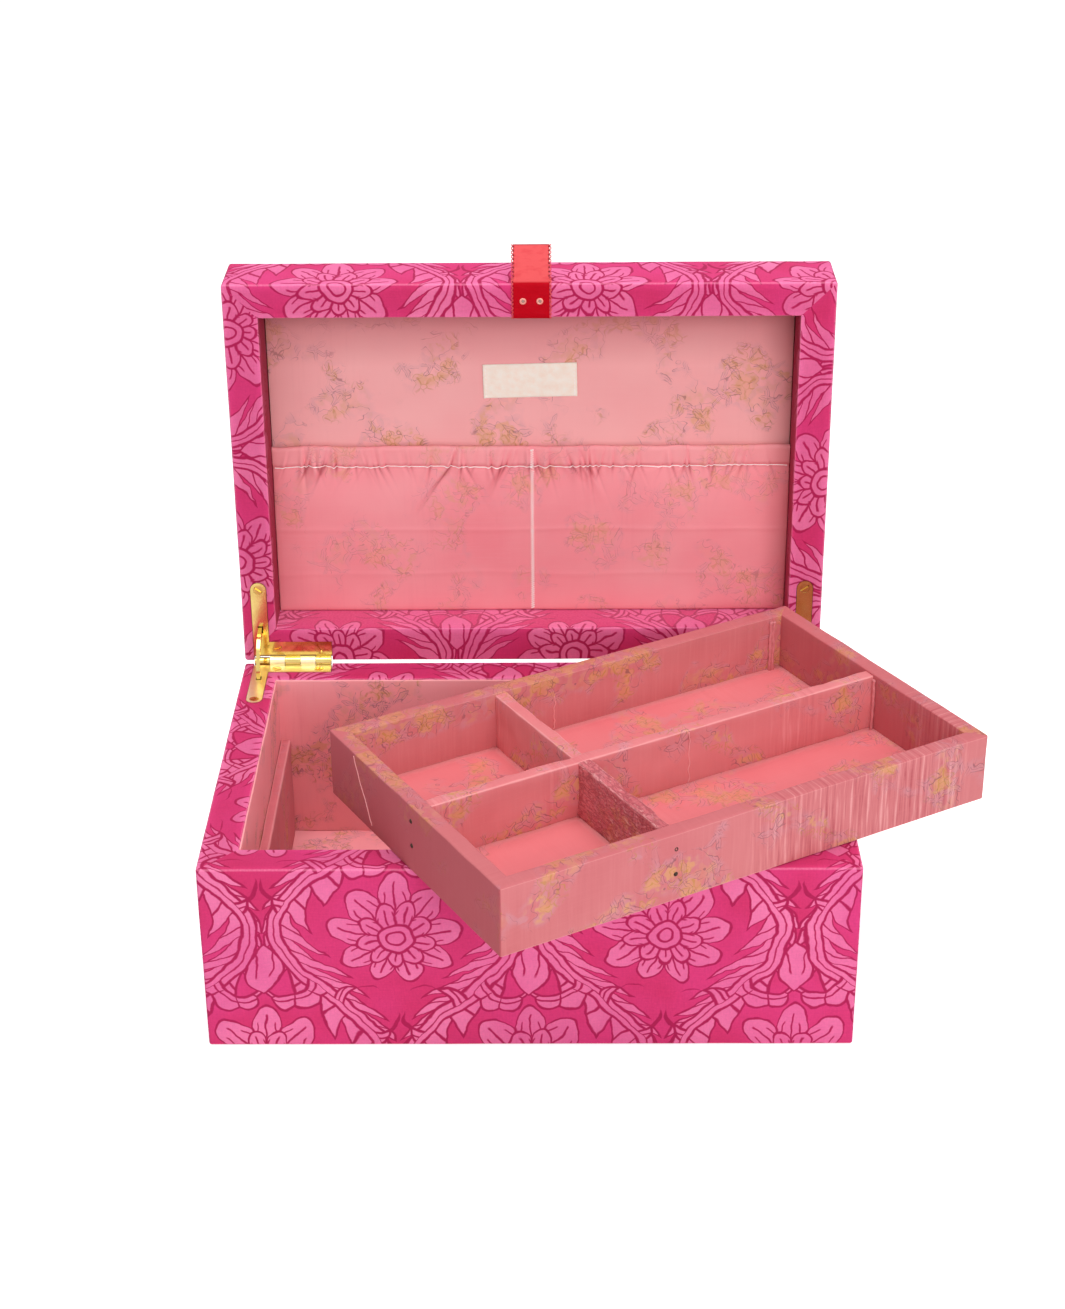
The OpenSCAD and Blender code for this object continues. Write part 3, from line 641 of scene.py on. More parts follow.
def roundedBlock(name, lo, hi, r, size, material, longAxis=0, seed=1.0, puff=0.0):
    # a board wrapped in cloth, with soft edges and a slightly uneven face
    axes = []
    for a in range(3):
        inner = steps(lo[a] + r, hi[a] - r, size) + [hi[a] - r]
        axes.append([lo[a], lo[a] + r * 0.35] + inner + [hi[a] - r * 0.35, hi[a]])
    points, faces, uvs, wearAndShade, index = [], [], [], [], {}
    thin = 1 - longAxis

    def vertex(p):
        key = tuple(round(c, 4) for c in p)
        if key not in index:
            core = Vector([min(max(p[a], lo[a] + r), hi[a] - r) for a in range(3)])
            away = Vector(p) - core
            off = sum(1 for c in away if abs(c) > 1e-6)
            ahead = away.normalized() if away.length > 1e-6 else Vector((0, 0, 0))
            index[key] = len(points)
            points.append(tuple(core + ahead * (r + puff * wobbleAt(p, 9.0, seed))))
            wearAndShade.append(1.0 if off > 1 else 0.0)
        return index[key]

    def clothPoint(p, axis, high):
        top = hi[2]
        if axis == thin:
            return (p[longAxis], 2 * top + hi[thin] - lo[thin] - p[2] if high else p[2])
        if axis == 2:
            return (p[longAxis], top + (p[thin] - lo[thin]) if high else -(p[thin] - lo[thin]))
        return (p[thin], p[2])

    for axis in range(3):
        b, c = [a for a in range(3) if a != axis]
        for high in (False, True):
            level = hi[axis] if high else lo[axis]
            for i in range(len(axes[b]) - 1):
                for j in range(len(axes[c]) - 1):
                    quad = []
                    for s, t in ((i, j), (i + 1, j), (i + 1, j + 1), (i, j + 1)):
                        p = [0, 0, 0]
                        p[axis], p[b], p[c] = level, axes[b][s], axes[c][t]
                        quad.append(p)
                    ordered = quad if high != (axis == 1) else quad[::-1]
                    faces.append([vertex(p) for p in ordered])
                    uvs.append([clothPoint(p, axis, high) for p in ordered])
    return toMesh(name, points, faces, uvs, wearAndShade, material)


def tube(name, paths, radius, material, sides=6):
    # threads along lists of points
    points, faces = [], []
    for path in paths:
        faces += stackFaces(sides, len(path), len(points))
        line = [Vector(p) for p in path]
        side = None
        for i, p in enumerate(line):
            ahead = (line[min(i + 1, len(line) - 1)] - line[max(i - 1, 0)]).normalized()
            if side is None:
                side = ahead.orthogonal().normalized()
            side = (side - ahead * side.dot(ahead)).normalized()
            up = ahead.cross(side)
            for k in range(sides):
                t = tau * k / sides
                points.append(tuple(p + (side * math.cos(t) + up * math.sin(t)) * radius))
    return toMesh(name, points, faces, None, None, material)


def lathe(name, outline, center, axisY, material, sides=24):
    # a turned piece with its axis along Y; outline is (radius, depth)
    points = []
    for r, d in outline:
        for k in range(sides):
            t = tau * k / sides
            points.append((center[0] + r * math.cos(t), axisY + d, center[1] + r * math.sin(t)))
    return toMesh(name, points, stackFaces(sides, len(outline)), None, None, material)


def prism(outline, z0, z1):
    # a closed cutter from an outline of (x, y)
    points = [(x, y, z) for z in (z0, z1) for x, y in outline]
    return toMesh("cutter", points, stackFaces(len(outline), 2), smooth=False)


def rodAlong(x0, x1, r, count, name="cutter", material=None):
    # a round bar on the hinge axis
    turns = [tau * (i + 0.5) / count for i in range(count)]
    points = [(x, hingeY + r * math.cos(t), hingeZ + r * math.sin(t)) for x in (x0, x1) for t in turns]
    return toMesh(name, points, stackFaces(count, 2), material=material, smooth=False)


def cutWith(obj, cutters):
    for cutter in cutters:
        change = obj.modifiers.new("cut", "BOOLEAN")
        change.object = cutter
        change.solver = "EXACT"
        shaped = bpy.data.meshes.new_from_object(obj.evaluated_get(bpy.context.evaluated_depsgraph_get()))
        obj.modifiers.clear()
        shaped.name = obj.name
        obj.data = shaped
        bpy.data.objects.remove(cutter)
    return obj


def openLid(p):
    # from the shut lid's place to the open one
    return (p[0], hingeY + (p[2] - hingeZ), hingeZ + (hingeY - p[1]))


def give(obj, body, slotName, *nodes):
    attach(obj, body)
    if nodes:
        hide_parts(*nodes)
    return obj


# what the leaves, barrels and stay arms take out of the cloth
hingeCut = {"inset": 4.6, "sideW": 7.5, "sideL": 40.6, "backW": 7.0, "backFrom": 2.0, "backL": 37.9,
            "backPast": 3.0, "barrelAt": 7.6, "barrelL": 30.0, "barrelEnd": 0.5, "play": 0.25,
            "barrelR": 3.6, "collarR": 2.1, "collarPlay": 0.35, "deep": 4.5, "clear": 4.0}


def hingeCollars():
    # the pin's thick end, seen between the leaf's corner and the first knuckle
    c = hingeCut
    for side, label in ((1, "left"), (-1, "right")):
        inner = (-boxSizes["halfX"] + c["inset"] + c["barrelAt"] - 0.1) * side
        outer = (-boxSizes["halfX"] + c["inset"] + 0.2) * side
        collar = weld(rodAlong(outer, inner, c["collarR"], 28, label + "_hinge_collar", brass))
        soften(collar, 0.3, 2)
        give(collar, "box", "hinge_brass")


def hingeCutters(side, rim, inward):
    # inward is -1 where the board lies below the rim, and +1 where it lies above
    c = hingeCut
    edgeX = -boxSizes["halfX"] + c["inset"]
    backEdge = boxSizes["halfY"]
    x0 = edgeX - c["play"]
    x1 = edgeX + c["sideW"] + c["play"]
    tipY = backEdge - c["sideL"] + c["sideW"] / 2
    reach = c["sideW"] / 2 + c["play"]
    tip = [((x0 + x1) / 2 + reach * math.cos(t), tipY + reach * math.sin(t))
           for t in [math.radians(180 + 15 * i) for i in range(13)]]
    backY = backEdge - c["backFrom"] + c["backPast"]
    lower = backEdge - c["backFrom"] - c["backW"] - c["play"]
    endX = edgeX + c["backL"] + c["play"]
    outline = [(x * side, y) for x, y in tip + [(x1, lower), (endX, lower), (endX, backY), (x0, backY)]]
    levels = sorted((rim + inward * c["deep"], rim - inward * c["clear"]))
    b0 = edgeX + c["barrelAt"] - c["barrelEnd"]
    b1 = b0 + c["barrelL"] + 2 * c["barrelEnd"]
    cutters = [prism(outline, *levels), rodAlong(b0 * side, b1 * side, c["barrelR"], 32)]
    cutters.append(rodAlong((b0 + 0.1) * side, (edgeX - 0.3) * side, c["collarR"] + c["collarPlay"], 24))
    for cutter in cutters:
        weld(cutter)
    return cutters


# the box
boxLow, boxHigh = spanOf("body_cover")
floorLow, floorHigh = spanOf("floor_liner")
boxSizes = {"halfX": boxHigh[0], "halfY": boxHigh[1], "rim": boxHigh[2], "under": boxLow[2], "edge": 0.95,
            "skin": 1.5, "rimWidth": 16.6, "corner": 1.4, "backPad": 0.9, "backFrom": 93.4,
            "uneven": ((0.12, 30, 2), (0.12, 30, 5), (0.072, 24, 9))}


def boxCover():
    b = boxSizes
    e, under, skin, wide = b["edge"], b["under"], b["skin"], b["rimWidth"]
    top = b["rim"] - 0.1
    profile = [(-8.0, under, 0), (-3.0 - e, under, 0)]
    profile += arc(-e, under + e, e, -90, 0, 4)
    profile += [(0.0, z, 0) for z in range(6, 88, 6)]
    profile += arc(-e, top - e, e, 0, 90, 4)
    # painted shade: the rim's top is a little darker, for how the light falls on it
    profile += [(-d, top, -0.22) for d in (4, 7, 10, 13)]
    profile += arc(-wide + 0.7, top - 0.7, 0.7, 90, 180, 3)
    profile += [(-wide, 88.2, 0), (-skin - 0.8, 88.2, 0), (-skin, 86.5, 0), (-skin, 2.4, 0), (-8.0, 2.2, 0)]
    obj = ringSweep("box_cover_cloth", b["halfX"], b["halfY"], profile, b["corner"], 6.0, printed)

    def sway(p):
        back = b["backPad"] if p.y > b["backFrom"] else 0.0
        return p + uneven(p, *b["uneven"]) + Vector((0, back, 0))
    moved(obj, sway)
    for side in (1, -1):
        cutWith(obj, hingeCutters(side, b["rim"], -1))
    return give(obj, "box", "outer_cloth", "body_cover")


liningSizes = {"face": -17.2, "under": -15.5, "round": 0.6, "top": 89.35, "foot": 5.0, "corner": 1.8,
               "uneven": ((0.22, 22, 3), (0.22, 22, 8), (0.15, 14, 6)), "floorRound": 0.45, "floorPuff": 0.5}


def boxLining():
    s = liningSizes
    face, under, foot = s["face"], s["under"], s["foot"]
    profile = [(under, 88.7, 0)]
    profile += arc(face + s["round"], s["top"] - s["round"], s["round"], 90, 180, 4)
    profile += [(face, z, 0) for z in range(84, 9, -5)]
    profile += [(face, foot + 0.6, 0.4), (face, foot, 0), (under, foot, 0)]
    obj = ringSweep("box_wall_lining", boxSizes["halfX"], boxSizes["halfY"], profile, s["corner"], 5.0,
                    liningInside)
    moved(obj, lambda p: p + uneven(p, *s["uneven"]))
    give(obj, "box", "lining_cloth", "front_liner", "back_liner", "left_liner", "right_liner")
    floor = roundedBlock("box_floor_lining", floorLow, floorHigh, s["floorRound"], 6.0, liningInside,
                         puff=s["floorPuff"], seed=4.0)
    give(floor, "box", "lining_cloth", "floor_liner")


ledgeSizes = {"round": 1.1, "puff": 0.35, "gap": 0.2}


def ledges():
    s = ledgeSizes
    for side, label in ((-1, "left"), (1, "right")):
        low, high = spanOf(label + "_ledge")
        wall = low if side < 0 else high
        wall[0] -= side * s["gap"]
        low[1] += s["gap"]
        high[1] -= s["gap"]
        obj = roundedBlock(label + "_ledge_cloth", low, high, s["round"], 5.0, liningLedge, longAxis=1,
                           puff=s["puff"], seed=11.0 + side)
        give(obj, "box", "lining_cloth", label + "_ledge")


boxCover()
boxLining()
ledges()
hingeCollars()
print("box made")


# the lid's cover is drawn shut and then opened
lidLow, lidHigh = spanOf("lid_cover")
shutDrop = hingeY - hingeZ
lidSizes = {"z0": lidLow[1] - shutDrop, "z1": lidHigh[1] - shutDrop, "edge": 0.95, "corner": 1.4,
            "wallIn": 16.0, "inside": 117.8, "sag": 0.65, "sagFrom": 78, "sagTo": 86,
            "uneven": ((0.12, 28, 12), (0.12, 28, 15), (0.12, 26, 19))}


def lidCover():
    s = lidSizes
    e, wallIn, inside = s["edge"], s["wallIn"], s["inside"]
    z0, z1 = s["z0"] + 0.1, s["z1"]
    # painted shade on the lid's inner walls, deepest far from the rim; the back wall's tone turns paler
    # instead
    walls = ((inside, -1), (112, -1), (106, -1), (100, -0.9), (95, -0.8), (92.4, -0.6))
    profile = [(-wallIn, z, tone) for z, tone in walls]
    profile += arc(-wallIn + 0.6, z0 + 0.6, 0.6, 180, 270, 3)
    # painted shade: the rim's top is a little darker, for how the light falls on it
    profile += [(-d, z0, -0.2) for d in (13, 10, 7, 4)]
    profile += arc(-e, z0 + e, e, 270, 360, 4)
    profile += [(0.0, z, 0) for z in (97, 102, 107, 112, 117)]
    profile += arc(-e, z1 - e, e, 0, 90, 4)
    flatFrom = len(profile) - 1
    profile += [(-d, z1, 0) for d in (6, 14, 24, 38, 54, 72, 86, 94.9)]
    profile += [(-94.9, z1 - 0.7, 0), (-54, z1 - 0.7, 0), (-14, z1 - 0.7, 0), (-1.5, z1 - 1.5, 0),
                (-1.5, z0 + 2.4, 0), (-2.3, z0 + 1.5, 0), (-14.8, z0 + 1.5, 0), (-14.8, inside, 0)]
    obj = ringSweep("lid_cover_cloth", boxSizes["halfX"], boxSizes["halfY"], profile, s["corner"], 6.0,
                    lidPrinted, flatFrom, (0, 1, 3))

    def sway(p):
        back = boxSizes["backPad"] if p.y > boxSizes["backFrom"] else 0.0
        sag = s["sag"] * between(p.y, s["sagFrom"], s["sagTo"]) if p.z < 93 else 0.0
        return p + uneven(p, *s["uneven"]) + Vector((0, back, -sag))
    moved(obj, sway)
    for side in (1, -1):
        cutWith(obj, hingeCutters(side, s["z0"], 1))
    moved(obj, openLid)
    return give(obj, "lid", "outer_cloth", "lid_cover")


panelFront, panelBack = [corner[1] for corner in spanOf("lid_lining_panel")]
panelSizes = {"x": 123.8, "low": 108.0, "high": 265.6, "face": panelFront, "back": panelBack, "edge": 0.35,
              "crown": 0.5, "wave": 0.25, "shadow": -1.25, "shadowReach": 33, "fill": 0.9}


def liningPanel():
    s = panelSizes
    obj = roundedBlock("lid_padded_lining", (-s["x"], s["face"], s["low"]), (s["x"], s["back"], s["high"]),
                       s["edge"], 4.0, liningLid)
    rows = obj.data.uv_layers["cloth"].data
    for loop in obj.data.loops:
        p = obj.data.vertices[loop.vertex_index].co
        rows[loop.index].uv = (p.x, p.z)
    tones = obj.data.attributes["tone"].data
    for n, vertex in enumerate(obj.data.vertices):
        fromTop = s["high"] - vertex.co.z / mm
        tones[n].value = s["shadow"] * max(0.0, 1 - fromTop / s["shadowReach"])

    def pad(p):
        u = 1 - abs(p.x) / s["x"]
        v = min(p.z - s["low"], s["high"] - p.z) / 80
        rise = min(1, u * 9) ** 0.5 * min(1, max(v, 0) * 6) ** 0.5
        front = 1 if p.y < s["face"] + 1 else 0
        return p + Vector((0, -front * (s["crown"] * rise + s["wave"] * wobbleAt(p, 38, 7)), 0))
    moved(obj, pad)
    give(obj, "lid", "lining_cloth", "lid_lining_panel")


# the pocket: one sheet gathered on its elastic, with its mouth turned in
pocketSizes = {"x": 123.8, "foot": 108.1, "mouth": 192.4, "stitch": 183.4, "seat": 121.3, "front": 116.8,
               "foldBack": 9.0, "bend": 1.4, "pleat": 1.25, "casing": 1.3, "cloth": 0.35, "lengthen": 1.09,
               "columns": 620, "rows": 84, "turnedRows": 16, "thread": 0.3, "elastic": 0.8, "seed": 11}


def makePleats():
    # where single tucks gather at the elastic: place, width, height, length and slant
    draw = np.random.RandomState(pocketSizes["seed"])
    made = []
    x = -pocketSizes["x"] + 5
    while x < pocketSizes["x"] - 5:
        crowd = 0.5 + 1.9 * max(0.0, ripple(x / 17, 2.2, 6.1) + 0.12)
        made.append((x, draw.uniform(0.7, 1.7), crowd * draw.uniform(0.6, 1.6), draw.choice([3, 4, 5, 6, 9]),
                     draw.uniform(-0.8, 0.8)))
        x += draw.choice([2.0, 2.8, 3.8, 5.5, 9.0])
    return made


pocketTucks = makePleats()


def pocketPleats(x, z):
    # how far the gathered cloth stands out at a place, and how much painted shade its crease takes
    s = pocketSizes
    down = max(0.0, s["stitch"] - z)
    up = max(0.0, z - s["stitch"])
    value, crease = 0.0, 0.0
    for place, width, height, length, slant in pocketTucks:
        if abs(x - place) > 16:
            continue
        wide = width * (1 + down / 14.0)
        off = (x - place - slant * (down - 0.5 * up)) / wide
        if abs(off) > 3:
            continue
        fade = math.exp(-down / length) if down else math.exp(-up / 7.0)
        value += height * fade * (math.exp(-off * off) - 0.75 * math.exp(-(off - 1.3) ** 2 * 1.6))
        crease += 1.3 * height * fade ** 1.5 * math.exp(-((off - 1.2) * wide / 0.6) ** 2)
    value += 0.7 * ripple(x / 15.0, z / 40, 8.3) * (math.exp(-down / 16.0) * math.exp(-up / 9.0) + 0.12)
    value -= 0.5 * math.exp(-(x / 9.0) ** 2) * (0.4 + 0.6 * math.exp(-down / 30.0))
    groove = math.exp(-((z - s["stitch"]) / 0.8) ** 2)
    return s["pleat"] * value - 0.5 * groove, min(crease, 1.0)


def pocketPlace(u, t):
    # u runs over the width and t up the cloth: 0 foot, 1 mouth, past 1 the turned hem
    s = pocketSizes
    x = -s["x"] + 2 * s["x"] * u
    height = s["mouth"] - s["foot"]
    z = s["foot"] + height * min(t, 1.0)
    hold = min(1.0, min(x + s["x"], s["x"] - x) / 2.5) ** 0.5
    foot = min(1.0, (z - s["foot"]) / 3.0) ** 0.5
    front = s["front"] + 1.9 * between(z, 160, 184) ** 2
    y = s["seat"] - (s["seat"] - front) * (0.9 + 0.1 * hold * foot)
    y -= pocketPleats(x, z)[0] * hold
    y += 0.35 * ripple(x / 34, z / 20, 21.0)
    # two soft fold lines across the cloth
    y -= 0.3 * math.exp(-((z - 151.4 - 1.2 * ripple(x / 60, 4, 4)) / 0.8) ** 2)
    y -= 0.18 * math.exp(-((z - 128.0 - 1.5 * ripple(x / 50, 9, 2)) / 1.0) ** 2)
    y -= s["casing"] * between(z, s["stitch"], s["stitch"] + 2)
    slip = 0.9 * ripple(x / 9.0, 5.5, z / 50) * math.exp(-abs(z - s["stitch"]) / 14.0)
    z += 0.7 * ripple(x / 13.0, 8.8, 0.4) * max(0.0, (z - 170) / 22) * hold
    over = (t - 1.0) * height
    bend = s["bend"]
    if over > 0 and over < math.pi * bend:
        y += bend - bend * math.cos(over / bend)
        z += bend * math.sin(over / bend)
    elif over > 0:
        y += 2 * bend
        z -= over - math.pi * bend
    return Vector((x + slip, y, z))


def pocket():
    s = pocketSizes
    height = s["mouth"] - s["foot"]
    turned = s["foldBack"] + math.pi * s["bend"]
    rows = [i / s["rows"] for i in range(s["rows"] + 1)]
    rows += [1 + turned / height * (i + 1) / s["turnedRows"] for i in range(s["turnedRows"])]
    columns = s["columns"]
    points, places, tones = [], [], []
    for t in rows:
        z = s["foot"] + height * min(t, 1.0)
        pale = 0.6 if z > s["stitch"] + 1 else 0.0
        for i in range(columns + 1):
            points.append(tuple(pocketPlace(i / columns, t)))
            places.append(((i / columns - 0.5) * 2 * s["x"] * s["lengthen"], t * height + 300))
            # painted shade in the tucks' creases
            tones.append(pale - pocketPleats(-s["x"] + 2 * s["x"] * i / columns, z)[1])
    faces = gridFaces(columns, len(rows) - 1)
    obj = toMesh("lid_pocket_cloth", points, faces, byCorner(faces, places), tones, liningPocket)
    thicken(obj, s["cloth"])
    give(obj, "lid", "lining_cloth", "lid_pocket")


def pocketStitches():
    s = pocketSizes
    height = s["mouth"] - s["foot"]
    line, seam = [], []
    for i in range(521):
        u = 0.004 + 0.992 * i / 520
        wander = 0.45 * ripple(u * 14, 3.3, 0) + 1.1 * ripple(u * 5, 7.1, 0)
        line.append(pocketPlace(u, (s["stitch"] + wander - s["foot"]) / height) - Vector((0, 0.3, 0)))
    for i in range(156):
        z = s["foot"] + 1.0 + i * 0.545
        wide = 0.75 + 0.2 * ripple(z / 3, 1, 1)
        x = 0.6 + (wide if i % 2 else -wide)
        p = pocketPlace(0.5 + x / (2 * s["x"]), min(1.0, (z - s["foot"]) / height))
        seam.append(p - Vector((0, 0.38, 0)))
    give(tube("pocket_stitches", [line, seam], s["thread"], threadWhite, 6), "lid", "label_tape")


def elasticBand():
    s = pocketSizes
    points = []
    for i in range(241):
        for z in (184.6, 187.0, 190.4):
            p = pocketPlace(0.006 + 0.988 * i / 240, (z - s["foot"]) / (s["mouth"] - s["foot"]))
            points.append((p.x, p.y + s["bend"], p.z))
    band = toMesh("elastic_band", points, gridFaces(2, 240, flip=True), None, None, elasticWhite)
    thicken(band, s["elastic"])
    give(band, "lid", "elastic", "pocket_elastic")


lidCover()
liningPanel()
pocket()
pocketStitches()
elasticBand()
print("lid made")


# label and ribbon
labelSizes = {"z": 226.2, "w": 44.4, "h": 16.8, "tilt": 1.2, "face": 121.35, "cloth": 0.45, "columns": 60,
              "rows": 24, "stitches": 9, "thread": 0.12}


def label():
    s = labelSizes
    tilt = math.radians(s["tilt"])

    def onPanel(a, b, y):
        # from the label's own width and height to its place in the lid
        return (a * math.cos(tilt) - b * math.sin(tilt), y, s["z"] + a * math.sin(tilt) + b * math.cos(tilt))

    points, places = [], []
    for j in range(s["rows"] + 1):
        for i in range(s["columns"] + 1):
            a = (i / s["columns"] - 0.5) * s["w"]
            b = (j / s["rows"] - 0.5) * s["h"]
            end = max(0.0, abs(a) - s["w"] / 2 + 2.0)
            fray = 0.12 * ripple(j * 0.9, a, 3) if end > 1.9 else 0.0
            lift = 0.10 * end ** 1.5 + 0.12 * ripple(a / 7, b / 7, 2)
            points.append(onPanel(a + fray, b, s["face"] - lift))
            places.append((i / s["columns"] * s["w"], j / s["rows"] * s["h"]))
    faces = gridFaces(s["columns"], s["rows"])
    obj = toMesh("blank_label", points, faces, byCorner(faces, places), None, tape)
    thicken(obj, s["cloth"])
    give(obj, "lid", "label_tape", "woven_label")
    stitches = []
    for sx in (-1, 1):
        for i in range(s["stitches"]):
            b = (i / (s["stitches"] - 1) - 0.5) * (s["h"] - 2.4)
            a = sx * (s["w"] / 2 - 1.3)
            stitches.append([onPanel(a, b + step, s["face"] - lift)
                             for step, lift in ((-0.55, 0.2), (0.0, 0.42), (0.55, 0.2))])
    give(tube("label_stitches", stitches, s["thread"], threadWhite, 5), "lid", "label_tape")


ribbonSizes = {"x": 1.1, "w": 16.6, "lean": 25.0, "tab": 17.3, "cloth": 0.3, "turn": 0.42, "columns": 22,
               "picot": 1.9, "loop": 0.85, "inEdge": 0.15, "thread": 0.24, "gap": 0.42}


def ribbonPath():
    # the ribbon's line in (depth, height) from inside the lid over the rim, up, over and down
    s = ribbonSizes
    lean = math.radians(s["lean"])
    ahead = (math.sin(lean), math.cos(lean))
    side = (-ahead[1], ahead[0])

    def offset(start, along, across):
        return tuple(start[i] + ahead[i] * along + side[i] * across for i in range(2))

    path = [(98.6, 265.35), (97.3, 265.3), (96.75, 265.5), (96.5, 266.1)]
    path += [(96.5, z) for z in (268, 271, 274, 277, 280)]
    path += [(96.52, 281.3), (96.72, 281.95)]
    corner = (96.8, 281.8)
    for i in range(1, 9):
        path.append(offset(corner, s["tab"] * i / 8, 0.25 * math.sin(math.pi * i / 8)))
    top = path[-1]
    for i in range(1, 6):
        t = math.pi * i / 6
        path.append(offset(top, s["turn"] * math.sin(t), -s["turn"] * (1 - math.cos(t))))
    for i in range(8, 1, -1):
        path.append(offset(corner, s["tab"] * i / 8, -2 * s["turn"]))
    path += [(98.6, 282.25), (100.5, 282.05), (103.5, 282.05)]
    return path


def ribbon():
    s = ribbonSizes
    path = ribbonPath()
    along = [0.0]
    for p, q in zip(path, path[1:]):
        along.append(along[-1] + math.hypot(q[0] - p[0], q[1] - p[1]))
    total = along[-1]
    columns = s["columns"]
    points, places = [], []
    for d, (y, z) in zip(along, path):
        for i in range(columns + 1):
            a = (i / columns - 0.5) * s["w"]
            lift = 0.10 * ripple(a / 5, d / 6, 4) + 0.0006 * a * a
            points.append((s["x"] + a, y - lift, z + 0.05 * ripple(a / 4, d / 3, 1)))
            places.append(((i / columns) * s["w"], d))
    faces = gridFaces(columns, len(path) - 1, flip=True)
    satin = ribbonSatin(along[10] + 0.6, along[21])
    obj = toMesh("pull_ribbon_satin", points, faces, byCorner(faces, places), None, satin)
    thicken(obj, s["cloth"])
    give(obj, "lid", "satin_ribbon", "pull_ribbon")

    def placeAt(d):
        for k in range(len(along) - 1):
            if along[k + 1] >= d:
                f = (d - along[k]) / max(along[k + 1] - along[k], 1e-6)
                return [a + (b - a) * f for a, b in zip(path[k], path[k + 1])]
        return path[-1]

    # loops of thread along both edges, with a dark mark beside each on the standing tab: painted shade and
    # the ribbon's back, seen through the gap
    picots, gaps = [], []
    distance = 1.0
    while distance < total - 1.5:
        for sx in (-1, 1):
            edge = s["w"] / 2 - s["inEdge"]
            if along[11] < distance < along[18]:
                y, z = placeAt(distance)
                gaps.append([(s["x"] + sx * edge + step, y - 0.16, z) for step in (-0.42, 0, 0.42)])
            loop = []
            for i in range(9):
                t = math.pi * i / 8
                y, z = placeAt(distance - s["loop"] * 0.85 * math.cos(t) + 0.95)
                loop.append((s["x"] + sx * (edge + s["loop"] * math.sin(t)), y - 0.03, z))
            picots.append(loop)
        distance += s["picot"]
    edging = give(tube("ribbon_picots", picots, s["thread"], satinEdge, 6), "lid", "satin_ribbon")
    dark = give(tube("ribbon_picot_gaps", gaps, s["gap"], satinDark, 8), "lid", "satin_ribbon")


pinSizes = {"places": (-2.75, 4.95), "height": 273.6, "headAt": 96.25, "coreAt": 96.2,
            "head": ((0.9, 0.35), (1.45, 0.2), (1.55, 0.0), (1.45, -0.22), (1.15, -0.34), (0.85, -0.3),
                     (0.7, -0.1), (0.7, 0.2)),
            "core": ((0.7, 0.3), (0.75, 0.05), (0.6, -0.1), (0.3, -0.16), (0.05, -0.17))}


def ribbonPins():
    s = pinSizes
    heads, cores = [], []
    for n, x in enumerate(s["places"]):
        center = (x, s["height"])
        heads.append(lathe("pin_head_%d" % n, s["head"], center, s["headAt"], pinFinish))
        cores.append(lathe("pin_core_%d" % n, s["core"], center, s["coreAt"], pinCore, 16))
    give(heads[0], "lid", "pin_enamel", "ribbon_pins")
    for piece in heads[1:] + cores:
        give(piece, "lid", "pin_enamel")


label()
ribbon()
ribbonPins()
print("label and ribbon made")


# the tray is drawn about its own middle and laid across the rims
trayLow, trayHigh = spanOf("tray_front_board")
traySizes = {"l": 243.0, "w": 151.0, "h": trayHigh[2] - trayLow[2], "wall": 7.5, "divider": 6.0, "drop": 1.0,
             "longAt": 74.5, "crossAt": 82.0, "edge": 0.75, "corner": 1.0, "yaw": 30.5, "midX": 55.64,
             "midY": -34.72, "z": trayLow[2], "sway": 0.3, "rimShade": -0.4, "sideShade": -1.0,
             "endShade": -0.7, "floor": 3.8, "floorCloth": 0.7, "curl": 0.9, "curlReach": 2.2,
             "floorStep": 2.5}
halfL, halfW = traySizes["l"] / 2, traySizes["w"] / 2
innerX, innerY = halfL - traySizes["wall"], halfW - traySizes["wall"]
longY = traySizes["longAt"] - halfW
crossX = traySizes["crossAt"] - halfL


def trayPose(p):
    s = traySizes
    t = math.radians(s["yaw"])
    return Vector((s["midX"] + p.x * math.cos(t) - p.y * math.sin(t),
                   s["midY"] + p.x * math.sin(t) + p.y * math.cos(t), p.z + s["z"]))


def trayWalls():
    s = traySizes
    e, wall, h = s["edge"], s["wall"], s["h"]
    profile = [(-wall + 0.3, 0.3, 0), (-e - 1, 0.15, 0)]
    profile += arc(-e, 0.15 + e, e, -90, 0, 4)
    profile += [(0.0, z, 0) for z in (5, 9, 13, 17, 21, 25, 28)]
    profile += arc(-e, h - e, e, 0, 90, 5)
    profile += [(-wall / 2, h + 0.05, 0.0)]
    profile += arc(-wall + e, h - e, e, 90, 180, 5)
    profile += [(-wall, z, 0) for z in (27, 23, 19, 15, 11, 8, 5.5)]
    profile += [(-wall + 0.05, 4.0, 0.5), (-wall + 0.3, 3.0, 0)]
    walls = ringSweep("tray_wall_cloth", halfL, halfW, profile, s["corner"], 3.0, liningStreaked)
    # painted shade: darker rim tops, outer left face and inner right end wall, for how the light falls on
    # them
    tones = walls.data.attributes["tone"].data
    for n, vertex in enumerate(walls.data.vertices):
        p = vertex.co / mm
        if p.z > h - 0.4:
            tones[n].value = s["rimShade"]
        elif p.x < -halfL + 0.4:
            tones[n].value = s["sideShade"]
        elif abs(p.x - innerX) < 0.4 and abs(p.y) < innerY + 0.4:
            tones[n].value = s["endShade"]

    def sway(p):
        w = s["sway"]
        high = w * (0.4 + 0.6 * between(p.z, 0, h))
        return p + uneven(p, (high, 16, 31), (high, 16, 37), (0.5 * w * p.z / h, 12, 41))
    return moved(walls, sway)


